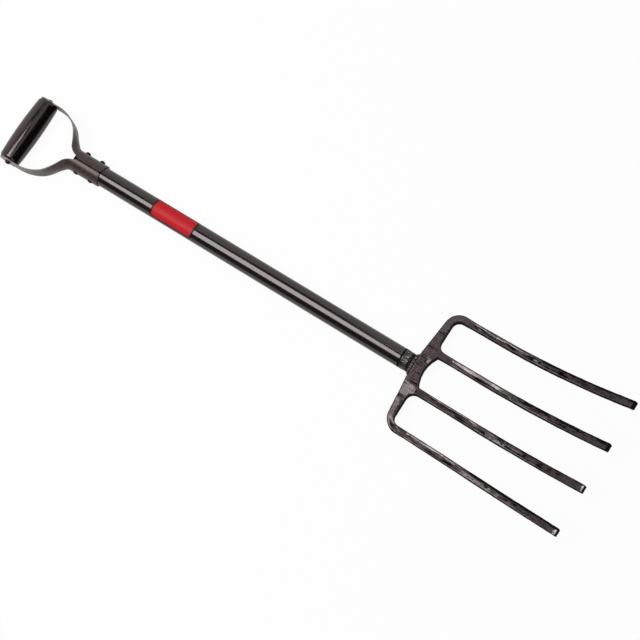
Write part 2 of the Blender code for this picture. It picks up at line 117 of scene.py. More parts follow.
class Kind(Enum):
    """Shader node, by Blender's type name."""

    PLACE = "ShaderNodeTexCoord"
    MAPPING = "ShaderNodeMapping"
    SPLIT = "ShaderNodeSeparateXYZ"
    ATTRIBUTE = "ShaderNodeAttribute"
    NOISE = "ShaderNodeTexNoise"
    RANGE = "ShaderNodeMapRange"
    MATH = "ShaderNodeMath"
    VECTOR = "ShaderNodeVectorMath"
    MIX = "ShaderNodeMix"
    BUMP = "ShaderNodeBump"
    RAYS = "ShaderNodeLightPath"
    GLOW = "ShaderNodeEmission"
    BLEND = "ShaderNodeMixShader"


class Spindle(Enum):
    """Euler turn that lays a lathe's Z axis along a piece's own axis."""

    ALONG_X = (0.0, math.pi / 2, 0.0)
    ALONG_Y = (-math.pi / 2, 0.0, 0.0)


def linear(colour: str) -> tuple[float, float, float, float]:
    """Turn an sRGB hex colour into a linear one.

    Args:
        colour: Hex colour such as "#1f1a1b".

    Returns:
        Linear red, green, blue and full alpha.
    """
    shares = [int(colour[i : i + 2], 16) / 255 for i in (1, 3, 5)]
    parts = [s / 12.92 if s <= 0.04045 else ((s + 0.055) / 1.055) ** 2.4 for s in shares]
    return (parts[0], parts[1], parts[2], 1.0)


def per_metre(size_mm: float) -> float:
    """Return the texture scale at which one feature is this many millimetres wide."""
    return 1000.0 / size_mm


def smooth_step(value: float) -> float:
    """Ease from 0 to 1 as the value goes from 0 to 1."""
    value = min(max(value, 0.0), 1.0)
    return value * value * (3.0 - 2.0 * value)


def spread(start: float, end: float, steps: int) -> list[float]:
    """Return evenly spaced values from start to end, both included."""
    return [start + (end - start) * i / steps for i in range(steps + 1)]


def plug(
    tree: bpy.types.NodeTree,
    node: bpy.types.Node,
    inputs: dict[str | int, Any],
) -> None:
    """Set or link the inputs of a node.

    Args:
        tree: Node tree that holds the node.
        node: Node to feed.
        inputs: Input socket, by number or by name, to its value, to the output that feeds
            it, or to the node whose first output in use feeds it.
    """
    for name, value in inputs.items():
        if isinstance(name, int):
            socket = node.inputs[name]
        else:
            socket = next(found for found in node.inputs if found.enabled and found.name == name)
        if isinstance(value, bpy.types.Node):
            value = next(output for output in value.outputs if output.enabled)
        if isinstance(value, bpy.types.NodeSocket):
            tree.links.new(value, socket)
        else:
            socket.default_value = value


def add_node(
    tree: bpy.types.NodeTree,
    kind: Kind,
    inputs: dict[str | int, Any],
    **settings: Any,
) -> bpy.types.Node:
    """Add a shader node with its settings and links.

    Args:
        tree: Node tree that takes the node.
        kind: Type of the node.
        inputs: What its inputs take, as in plug.
        settings: Properties of the node itself.

    Returns:
        The new node.
    """
    node = tree.nodes.new(kind.value)
    for name, value in settings.items():
        setattr(node, name, value)
    plug(tree, node, inputs)
    return node


def new_material(name: str) -> tuple[bpy.types.Material, bpy.types.NodeTree, bpy.types.Node]:
    """Start a material.

    Args:
        name: Name of the real material.

    Returns:
        The material, its node tree and its Principled shader.
    """
    material = bpy.data.materials.new(name)
    material.use_nodes = True
    tree = material.node_tree
    return material, tree, tree.nodes["Principled BSDF"]


def release() -> None:
    """Leave edit mode and deselect everything."""
    if bpy.context.mode != "OBJECT":
        bpy.ops.object.mode_set(mode="OBJECT")
    bpy.ops.object.select_all(action="DESELECT")


def hold(piece: bpy.types.Object) -> None:
    """Make a piece the only selected one and the active one."""
    release()
    piece.select_set(True)
    bpy.context.view_layer.objects.active = piece


def edit_all(piece: bpy.types.Object) -> None:
    """Enter edit mode on a piece with all of it selected."""
    hold(piece)
    bpy.ops.object.mode_set(mode="EDIT")
    bpy.ops.mesh.select_mode(type="VERT")
    bpy.ops.mesh.select_all(action="SELECT")


def apply_modifier(piece: bpy.types.Object, kind: str, **settings: Any) -> None:
    """Add a modifier to a piece and apply it.

    Args:
        piece: Piece to change.
        kind: Blender's type name of the modifier.
        settings: Properties of the modifier.
    """
    hold(piece)
    modifier = piece.modifiers.new(kind.lower(), kind)
    for name, value in settings.items():
        setattr(modifier, name, value)
    bpy.ops.object.modifier_apply(modifier=modifier.name)


def face_outwards(piece: bpy.types.Object) -> None:
    """Merge a closed piece's doubles and turn its faces outwards."""
    edit_all(piece)
    bpy.ops.mesh.remove_doubles(threshold=MERGE_DISTANCE)
    bpy.ops.mesh.normals_make_consistent(inside=False)
    release()


def settle(piece: bpy.types.Object) -> None:
    """Put a piece's place, turn and scale into its mesh."""
    hold(piece)
    bpy.ops.object.transform_apply(location=True, rotation=True, scale=True)


def shade(piece: bpy.types.Object, angle: float = 35.0) -> None:
    """Shade a piece smooth, apart from edges sharper than an angle in degrees."""
    hold(piece)
    bpy.ops.object.shade_smooth_by_angle(angle=math.radians(angle))


def turn_on_lathe(
    name: str,
    outline: Outline,
    sides: int,
    centre: Vector,
    spindle: Spindle,
    bored: bool,
) -> bpy.types.Object:
    """Turn a round piece by extruding one ring along its outline.

    Args:
        name: Name of the piece.
        outline: Places along the axis and radii, each radius above zero.
        sides: Number of points round the axis.
        centre: Place of the axis's zero.
        spindle: Direction of the axis.
        bored: Whether the first and last ring are joined by a bore and not closed.

    Returns:
        The piece, in place.
    """
    release()
    along, radius = outline[0]
    fill = "NOTHING" if bored else "NGON"
    bpy.ops.mesh.primitive_circle_add(vertices=sides, radius=radius, fill_type=fill)
    piece = bpy.context.object
    piece.name = name
    edit_all(piece)
    bpy.ops.mesh.select_mode(type="EDGE")
    bpy.ops.transform.translate(value=(0.0, 0.0, along))
    for (along, radius), (next_along, next_radius) in zip(outline, outline[1:]):
        step = {"value": (0.0, 0.0, next_along - along)}
        bpy.ops.mesh.extrude_edges_move(TRANSFORM_OT_translate=step)
        growth = next_radius / radius
        middle = (0.0, 0.0, next_along)
        bpy.ops.transform.resize(value=(growth, growth, 1.0), center_override=middle)
    if bored:
        bpy.ops.mesh.select_all(action="DESELECT")
        bpy.ops.mesh.select_non_manifold()
        bpy.ops.mesh.bridge_edge_loops()
    else:
        bpy.ops.mesh.edge_face_add()
    face_outwards(piece)
    piece.rotation_euler = spindle.value
    piece.location = centre
    settle(piece)
    return piece


def shaped_grid(name: str, rows: Sequence[Sequence[Vector]]) -> bpy.types.Object:
    """Lay a grid through rows of points.

    A pressed or wrapped sheet changes its section all along a curve, which no single
    edit tool gives, so the points of a grid are placed one by one.

    Args:
        name: Name of the piece.
        rows: Rows of points, all of the same length.

    Returns:
        The sheet, with no thickness yet.
    """
    release()
    across = len(rows[0]) - 1
    down = len(rows) - 1
    bpy.ops.mesh.primitive_grid_add(x_subdivisions=across, y_subdivisions=down, size=1.0)
    piece = bpy.context.object
    piece.name = name
    for vertex in piece.data.vertices:
        column = round((vertex.co.x + 0.5) * across)
        row = round((vertex.co.y + 0.5) * down)
        vertex.co = rows[row][column]
    return piece


def copy_solid(node: bpy.types.Object, name: str) -> bpy.types.Object:
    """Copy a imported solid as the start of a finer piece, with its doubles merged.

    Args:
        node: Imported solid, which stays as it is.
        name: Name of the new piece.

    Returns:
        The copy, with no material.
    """
    piece = bpy.data.objects.new(name, node.data.copy())
    bpy.context.scene.collection.objects.link(piece)
    edit_all(piece)
    bpy.ops.mesh.remove_doubles(threshold=MERGE_DISTANCE)
    bpy.ops.mesh.customdata_custom_splitnormals_clear()
    release()
    piece.data.materials.clear()
    return piece


@dataclass(frozen=True)
class Lumps:
    """Uneven surface of a forging or weld, as a height in a field of soft noise."""

    size_mm: float
    height_mm: float
    level: float = 0.5
    stretch: tuple[float, float, float] = (1.0, 1.0, 1.0)
    zone: Zone | None = None

    def press_into(self, piece: bpy.types.Object) -> None:
        """Move a fine mesh's points along their normals by these lumps.

        Args:
            piece: Piece with a mesh finer than the lumps.
        """
        texture = bpy.data.textures.new(f"{piece.name}_lumps", "CLOUDS")
        texture.noise_scale = self.size_mm * MM
        texture.noise_depth = 2
        lattice = bpy.data.objects.new("lump_axes", None)
        bpy.context.scene.collection.objects.link(lattice)
        lattice.scale = self.stretch
        bpy.context.view_layer.update()
        apply_modifier(
            piece,
            "DISPLACE",
            texture=texture,
            texture_coords="OBJECT",
            texture_coords_object=lattice,
            strength=self.height_mm * MM,
            mid_level=self.level,
            vertex_group=self.zone.value if self.zone else "",
        )
        bpy.data.objects.remove(lattice, do_unlink=True)
        bpy.data.textures.remove(texture)


@dataclass(frozen=True)
class Pattern:
    """Soft noise of a real size, drawn out along its axes and cut off at two levels."""

    size_mm: float
    detail: float = 3.0
    stretch: tuple[float, float, float] = (1.0, 1.0, 1.0)
    turn: float = 0.0
    low: float = 0.3
    high: float = 0.7

    def lay(self, tree: bpy.types.NodeTree, place: bpy.types.NodeSocket) -> bpy.types.Node:
        """Add the noise.

        Args:
            tree: Node tree that takes the nodes.
            place: Output that gives the place on the piece.

        Returns:
            The noise, which goes from about 0 to about 1.
        """
        # The turn comes after the stretch, so it changes the marks and not their direction.
        drawn = add_node(
            tree,
            Kind.MAPPING,
            {
                "Vector": place,
                "Rotation": (0.0, 0.0, math.radians(self.turn)),
                "Scale": [1.0 / length for length in self.stretch],
            },
        )
        scale = per_metre(self.size_mm)
        return add_node(tree, Kind.NOISE, {"Vector": drawn, "Scale": scale, "Detail": self.detail})

    def share(
        self,
        tree: bpy.types.NodeTree,
        noise: bpy.types.Node,
        start: float = 0.0,
        end: float = 1.0,
    ) -> bpy.types.Node:
        """Add the change from one value to another as the noise passes its two levels.

        Args:
            tree: Node tree that takes the node.
            noise: The noise, or what was made of it.
            start: Value at the lower level.
            end: Value at the upper level.

        Returns:
            The node that gives the value.
        """
        levels = {"From Min": self.low, "From Max": self.high, "To Min": start, "To Max": end}
        return add_node(tree, Kind.RANGE, {"Value": noise, **levels})


def lay_coat(
    tree: bpy.types.NodeTree,
    shader: bpy.types.Node,
    tones: tuple[bpy.types.Node, str, str],
    relief: tuple[bpy.types.Node, float],
    look: dict[str, Any],
) -> None:
    """Feed a shader with two tones, a relief and the rest of its look.

    Args:
        tree: Node tree that holds the shader.
        shader: Principled shader of the material.
        tones: Node that goes from 0 to 1, and the hex colours at its two ends.
        relief: Node that gives the height, and its depth in millimetres.
        look: Other inputs of the shader, as in plug.
    """
    share, first, second = tones
    height, depth_mm = relief
    ends = {"Factor": share, "A": linear(first), "B": linear(second)}
    colour = add_node(tree, Kind.MIX, ends, data_type="RGBA")
    bump = add_node(tree, Kind.BUMP, {"Height": height, "Distance": depth_mm * MM})
    plug(tree, shader, {"Base Color": colour, "Normal": bump, **look})


@dataclass(frozen=True)
class PowderCoat:
    """Baked polyester powder on steel tube."""

    name: str = "powder_coated_steel_black"
    film: str = "#1d1718"
    scuff: str = "#4a4142"
    gloss: tuple[float, float] = (0.10, 0.17)
    ior: float = 1.57
    specular: float = 0.5
    peel: Pattern = Pattern(4.0, detail=1.0)
    peel_depth_mm: float = 0.007
    clouds: Pattern = Pattern(34.0)
    rubs: Pattern = Pattern(0.9, detail=2.0, stretch=(14.0, 1.0, 1.0), low=0.66, high=0.78)
    rub_share: float = 0.6

    def material(self) -> bpy.types.Material:
        """Return the coat: near black, softly mirrored, with orange peel and few rubs."""
        # The film melts level in the oven, so it mirrors a lamp as one clean strip whose
        # edge wavers. Real orange peel is nearer 1 mm, drawn coarser here so that it shows.
        material, tree, shader = new_material(self.name)
        place = add_node(tree, Kind.PLACE, {}).outputs["Object"]
        peel = self.peel.lay(tree, place)
        rubbed = self.rubs.share(tree, self.rubs.lay(tree, place), end=self.rub_share)
        look = {
            "Roughness": self.clouds.share(tree, self.clouds.lay(tree, place), *self.gloss),
            "IOR": self.ior,
            "Specular IOR Level": self.specular,
            "Specular Tint": WARM_GLOSS,
        }
        lay_coat(tree, shader, (rubbed, self.film, self.scuff), (peel, self.peel_depth_mm), look)
        return material


@dataclass(frozen=True)
class PressedSteelCoat:
    """Thin satin coat on deep-drawn sheet steel."""

    name: str = "coated_pressed_steel_brown"
    film: str = "#352b2a"
    thin: str = "#443936"
    gloss: tuple[float, float] = (0.25, 0.33)
    ior: float = 1.57
    specular: float = 0.32
    lines: Pattern = Pattern(1.1, stretch=(9.0, 9.0, 1.0))
    line_depth_mm: float = 0.02
    specks: Pattern = Pattern(1.6, detail=4.0, low=0.42, high=0.68)

    def material(self) -> bpy.types.Material:
        """Return the coat: grey-brown, satin, with faint draw lines and thin patches."""
        # Sheet that was drawn over a die keeps fine lines along the strap, and a thin coat
        # lets them through: the gloss breaks into a broad soft sheen.
        material, tree, shader = new_material(self.name)
        place = add_node(tree, Kind.PLACE, {}).outputs["Object"]
        lines = self.lines.lay(tree, place)
        thinned = self.specks.share(tree, self.specks.lay(tree, place))
        look = {
            "Roughness": self.lines.share(tree, lines, *self.gloss),
            "IOR": self.ior,
            "Specular IOR Level": self.specular,
            "Specular Tint": BROWN_GLOSS,
        }
        lay_coat(tree, shader, (thinned, self.film, self.thin), (lines, self.line_depth_mm), look)
        return material


@dataclass(frozen=True)
class DullSteel:
    """Dull, almost black steel that stands as painted shade where parts meet or turn from the
    light.
    """

    name: str
    metal: str = "#0b0808"
    roughness: float = 0.85
    specular: float = 0.1

    def material(self) -> bpy.types.Material:
        """Return the steel: dull and almost black, so that it reads as a dark line."""
        # Its near-black colour is painted shade, and it takes all the gloss away.
        material, tree, shader = new_material(self.name)
        look = {"Roughness": self.roughness, "Specular IOR Level": self.specular}
        plug(tree, shader, {"Base Color": linear(self.metal), **look})
        return material


@dataclass(frozen=True)
class LacqueredHardwood:
    """Turned beech under black gloss lacquer, with painted brown sheen on its half towards the
    softbox.
    """

    axis_x: float
    name: str = "lacquered_beech_black"
    lacquer: str = "#0e090a"
    sheen_brown: str = "#2b1918"
    gloss: tuple[float, float] = (0.12, 0.28)
    ior: float = 1.6
    grain: Pattern = Pattern(1.5, detail=4.0, stretch=(1.0, 16.0, 1.0), low=0.35)
    grain_depth_mm: float = 0.03
    streaks: Pattern = Pattern(6.0, stretch=(1.0, 16.0, 1.0), low=0.36, high=0.62)
    lit_side_edge_mm: float = 5.0

    def material(self) -> bpy.types.Material:
        """Return the lacquer: black, with brown streaks along the grain painted as sheen on one
        half.
        """
        # Open grain runs along the grip and stays as shallow lines under the lacquer, so a
        # lamp's reflection breaks into long streaks, and brown streaks on the lit half are painted
        # sheen.
        material, tree, shader = new_material(self.name)
        place = add_node(tree, Kind.PLACE, {}).outputs["Object"]
        grain = self.grain.lay(tree, place)
        streaks = self.streaks.share(tree, self.streaks.lay(tree, place))
        # The half towards the softbox, along -X, takes the brown streaks: painted sheen.
        lit_side = add_node(
            tree,
            Kind.RANGE,
            {
                "Value": add_node(tree, Kind.SPLIT, {0: place}).outputs["X"],
                "From Min": self.axis_x + self.lit_side_edge_mm * MM,
                "From Max": self.axis_x - self.lit_side_edge_mm * MM,
            },
        )
        brown = add_node(tree, Kind.MATH, {0: lit_side, 1: streaks}, operation="MULTIPLY")
        look = {
            "Roughness": self.grain.share(tree, grain, *self.gloss),
            "IOR": self.ior,
            "Specular Tint": WARM_GLOSS,
        }
        lay_coat(tree, shader, (brown, self.lacquer, self.sheen_brown), (grain, self.grain_depth_mm), look)
        return material


@dataclass(frozen=True)
class ForgedLacquer:
    """Dipped black lacquer over hammered and brushed forge scale."""

    crossbar_x: float
    name: str = "black_lacquered_forged_steel"
    lacquer: str = "#0c0708"
    scale: str = "#352729"
    # Near black of the sides and sheared ends: a painted shade.
    side: str = "#0a0607"
    steel: str = "#cbc3bf"
    gloss: tuple[float, float] = (0.10, 0.24)
    side_roughness: float = 0.78
    ior: float = 1.5
    hammer: Pattern = Pattern(2.2, stretch=(6.0, 1.0, 1.0))
    hammer_depth_mm: float = 0.05
    patches: Pattern = Pattern(4.0, detail=4.0, stretch=(6.0, 1.0, 1.0), low=0.40, high=0.58)
    brush: Pattern = Pattern(
        1.3, detail=2.0, stretch=(10.0, 1.0, 1.0), turn=52.0, low=0.35, high=0.65
    )
    brush_depth_mm: float = 0.10
    brush_reach_mm: float = 26.0
    thinning: tuple[float, float] = (-0.08, 0.36)
    chips: Pattern = Pattern(4.2, low=0.34, high=0.40)

    def material(self) -> bpy.types.Material:
        """Return the lacquer: black, crackled gloss, brushed at the back, worn at the tips."""
        # Lacquer levels over hammer scale without hiding it, so gloss and matt brown scale
        # lie side by side. Sides and sheared ends get a matt painted shade, and soil bares the
        # tips.
        material, tree, shader = new_material(self.name)
        place = add_node(tree, Kind.PLACE, {}).outputs["Object"]
        sides, corners = (
            add_node(tree, Kind.ATTRIBUTE, {}, attribute_name=mark.value).outputs["Fac"]
            for mark in (Mark.MATT_SIDE, Mark.WORN_TIP)
        )
        crossbar = add_node(
            tree,
            Kind.RANGE,
            {
                "Value": add_node(tree, Kind.SPLIT, {0: place}).outputs["X"],
                "From Min": self.crossbar_x,
                "From Max": self.crossbar_x + self.brush_reach_mm * MM,
                "To Min": 1.0,
                "To Max": 0.0,
            },
        )
        brushed = self.brush.lay(tree, place)
        thinning = self.brush.share(tree, brushed, *self.thinning)
        patches = self.patches.lay(tree, place)
        thinned = add_node(
            tree, Kind.MATH, {0: crossbar, 1: thinning, 2: patches}, operation="MULTIPLY_ADD"
        )
        scaled = self.patches.share(tree, thinned)
        chips = self.chips.lay(tree, place)
        bare = add_node(tree, Kind.MATH, {0: corners, 1: chips}, operation="MULTIPLY")
        worn = self.chips.share(tree, bare)
        colour = linear(self.lacquer)
        for share, tone in ((scaled, self.scale), (sides, self.side), (worn, self.steel)):
            tones = {"Factor": share, "A": colour, "B": linear(tone)}
            colour = add_node(tree, Kind.MIX, tones, data_type="RGBA")
        low, high = self.gloss
        gloss = add_node(tree, Kind.RANGE, {"Value": scaled, "To Min": low, "To Max": high})
        dents = add_node(
            tree,
            Kind.BUMP,
            {"Height": self.hammer.lay(tree, place), "Distance": self.hammer_depth_mm * MM},
        )
        coat = {
            "Base Color": colour,
            "Roughness": add_node(
                tree, Kind.MIX, {"Factor": sides, "A": gloss, "B": self.side_roughness}
            ),
            "Normal": add_node(
                tree,
                Kind.BUMP,
                {
                    "Strength": crossbar,
                    "Height": brushed,
                    "Distance": self.brush_depth_mm * MM,
                    "Normal": dents,
                },
            ),
            "IOR": self.ior,
            "Specular Tint": WARM_GLOSS,
        }
        plug(tree, shader, coat)
        return material


@dataclass(frozen=True)
class WeldMetal:
    """Mild steel weld, painted over with the head and chipped to bright metal."""

    name: str = "painted_weld_steel"
    paint: str = "#120d0d"
    bright: str = "#a79e99"
    roughness: float = 0.24
    specular: float = 0.38
    chips: Pattern = Pattern(1.4, low=0.60, high=0.66)
    grain: Pattern = Pattern(0.9)
    grain_depth_mm: float = 0.10

    def material(self) -> bpy.types.Material:
        """Return the weld: dark lumps with bright flecks on them."""
        # A hand weld is coarse and glassy, and paint misses its crests, so bright flecks
        # stand beside black hollows.
        material, tree, shader = new_material(self.name)
        place = add_node(tree, Kind.PLACE, {}).outputs["Object"]
        grain = self.grain.lay(tree, place)
        bare = self.chips.share(tree, self.chips.lay(tree, place))
        look = {
            "Metallic": bare,
            "Roughness": self.roughness,
            "Specular IOR Level": self.specular,
        }
        lay_coat(tree, shader, (bare, self.paint, self.bright), (grain, self.grain_depth_mm), look)
        return material


@dataclass(frozen=True)
class PrintedFilm:
    """Printed vinyl film, red with a dark border."""

    length_mm: float
    width_mm: float
    corner_mm: float
    name: str = "printed_vinyl_red"
    red: str = "#bd1a22"
    border: str = "#0d0405"
    border_mm: float = 2.8
    border_blur_mm: float = 0.15
    gloss: tuple[float, float] = (0.42, 0.56)
    ior: float = 1.4
    specular: float = 0.3
    waves: Pattern = Pattern(9.0, detail=2.0, low=0.0, high=1.0)
    wave_depth_mm: float = 0.05

    def border_share(
        self,
        tree: bpy.types.NodeTree,
        flat: bpy.types.NodeSocket,
    ) -> bpy.types.Node:
        """Add the border, which follows the film's rounded outline.

        Args:
            tree: Node tree that takes the nodes.
            flat: Output of the film's own flat map.

        Returns:
            Node that gives 1 on the border and 0 inside it.
        """
        half_length = self.length_mm / 2 - self.corner_mm
        half_width = self.width_mm / 2 - self.corner_mm
        steps = (
            ("SUBTRACT", (0.5, 0.5, 0.0)),
            ("MULTIPLY", (self.length_mm, self.width_mm, 0.0)),
            ("ABSOLUTE", None),
            ("SUBTRACT", (half_length, half_width, 0.0)),
            ("MAXIMUM", (0.0, 0.0, 0.0)),
            ("LENGTH", None),
        )
        from_core = flat
        for operation, operand in steps:
            operands = {0: from_core} if operand is None else {0: from_core, 1: operand}
            from_core = add_node(tree, Kind.VECTOR, operands, operation=operation)
        inner = self.corner_mm - self.border_mm
        limits = {"From Min": inner, "From Max": inner + self.border_blur_mm}
        return add_node(tree, Kind.RANGE, {"Value": from_core, **limits})

    def material(self) -> bpy.types.Material:
        """Return the film: even red inside a thin border, with a slightly wavy gloss."""
        # Soft vinyl takes up the tube's curve with slight waves that bend the reflection.
        # Its border is printed to the edge and measured in millimetres on the film's map.
        material, tree, shader = new_material(self.name)
        place = add_node(tree, Kind.PLACE, {})
        waves = self.waves.lay(tree, place.outputs["Object"])
        edge = self.border_share(tree, place.outputs["UV"])
        look = {
            "Roughness": self.waves.share(tree, waves, *self.gloss),
            "IOR": self.ior,
            "Specular IOR Level": self.specular,
        }
        lay_coat(tree, shader, (edge, self.red, self.border), (waves, self.wave_depth_mm), look)
        return material


@dataclass
class Workshop:
    """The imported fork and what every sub-assembly takes from it."""

    nodes: dict[str, bpy.types.Object]

    @cached_property
    def handle_end(self) -> Vector:
        """Middle of the tube's end in the handle, from which the shaft runs along +X."""
        low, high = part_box("shaft_tube")
        return Vector((low[0], (low[1] + high[1]) / 2, (low[2] + high[2]) / 2))

    @cached_property
    def tube_radius(self) -> float:
        """Outer radius of the shaft tube."""
        low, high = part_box("shaft_tube")
        return (high[2] - low[2]) / 2

    @cached_property
    def tube_length(self) -> float:
        """Length of the shaft tube."""
        low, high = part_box("shaft_tube")
        return high[0] - low[0]

    def dress(
        self,
        piece: bpy.types.Object,
        node: str | None,
        body: Body,
        slot: Slot,
        material: bpy.types.Material | None = None,
    ) -> None:
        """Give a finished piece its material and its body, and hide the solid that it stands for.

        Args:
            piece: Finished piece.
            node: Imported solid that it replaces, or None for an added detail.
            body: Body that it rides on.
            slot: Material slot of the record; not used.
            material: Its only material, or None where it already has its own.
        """
        if material is not None:
            piece.data.materials.clear()
            piece.data.materials.append(material)
        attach(piece, body.value)
        if node is not None:
            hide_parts(node)
        LOG.info("%s: %d faces on %s", piece.name, len(piece.data.polygons), body.value)


@dataclass
class Shaft:
    """Steel tube with its label."""

    shop: Workshop
    wall: float = 1.5 * MM
    end_chamfer: float = 0.35 * MM
    sides: int = 160
    # Under the shells and by the weld the tube is painted near black as shade.
    under_shell_length: float = 50.0 * MM
    end_shade_length: float = 2.4 * MM
    label_start: float = 147.2 * MM
    label_length: float = 76.0 * MM
    label_width: float = 35.0 * MM
    label_corner: float = 5.0 * MM
    label_thickness: float = 0.2 * MM
    label_gap: float = 0.12 * MM
    label_columns: int = 40
    label_corner_steps: int = 8

    def build_tube(self, coat: bpy.types.Material, bare: bpy.types.Material) -> None:
        """Turn the tube, open at the handle, with its saw edges broken.

        Args:
            coat: Material of the tube.
            bare: Near-black material of its end under the shells and of a band at its weld end, as
                painted shade.
        """
        outer = self.shop.tube_radius
        inner = outer - self.wall
        length = self.shop.tube_length
        chamfer = self.end_chamfer
        outline = [
            (chamfer, inner),
            (0.0, inner + chamfer),
            (0.0, outer - chamfer),
            (chamfer, outer),
            (self.under_shell_length, outer),
            (length - self.end_shade_length, outer),
            (length - chamfer, outer),
            (length, outer - chamfer),
            (length, inner + chamfer),
            (length - chamfer, inner),
        ]
        centre = self.shop.handle_end
        tube = turn_on_lathe(
            "shaft_tube_coated", outline, self.sides, centre, Spindle.ALONG_X, bored=True
        )
        for finish in (coat, bare):
            tube.data.materials.append(finish)
        # Faces under the shells and by the weld take the dark material: painted shade.
        for face in tube.data.polygons:
            along = face.center.x - centre.x
            face.material_index = int(not self.under_shell_length < along < length - self.end_shade_length)
        shade(tube, angle=30.0)
        self.shop.dress(tube, "shaft_tube", Body.FRAME, Slot.POWDER_COAT)

    def label_rows(self) -> list[list[Vector]]:
        """Return the label's points on the tube, in rows round the shaft."""
        radius = self.shop.tube_radius + self.label_gap + self.label_thickness / 2
        corner = self.label_corner
        half_length = self.label_length / 2
        angles = spread(0.0, math.pi / 2, self.label_corner_steps)
        places = [corner * (1.0 - math.cos(angle)) for angle in angles]
        places += [self.label_length - place for place in reversed(places)]
        rows = []
        for place in places:
            short = max(0.0, abs(place - half_length) - half_length + corner)
            half = self.label_width / 2 - corner + math.sqrt(max(corner**2 - short**2, 0.0))
            row = []
            for across in spread(-half, half, self.label_columns):
                angle = across / radius
                along = self.label_start + place
                point = Vector((along, radius * math.sin(angle), radius * math.cos(angle)))
                row.append(self.shop.handle_end + point)
            rows.append(row)
        return rows

    def build_label(self, film: bpy.types.Material) -> None:
        """Wrap the label round the tube and map it flat for its border.

        Args:
            film: Material of the label.
        """
        label = shaped_grid("shaft_label_film", self.label_rows())
        centre = self.shop.handle_end
        radius = self.shop.tube_radius
        flat = label.data.uv_layers.active or label.data.uv_layers.new(name="flat")
        for loop in label.data.loops:
            point = label.data.vertices[loop.vertex_index].co - centre
            turn = math.atan2(point.y, point.z)
            along = (point.x - self.label_start) / self.label_length
            flat.data[loop.index].uv = (along, 0.5 + turn * radius / self.label_width)
        apply_modifier(label, "SOLIDIFY", thickness=self.label_thickness, offset=0.0)
        face_outwards(label)
        shade(label, angle=50.0)
        self.shop.dress(label, "shaft_label", Body.FRAME, Slot.FILM, film)


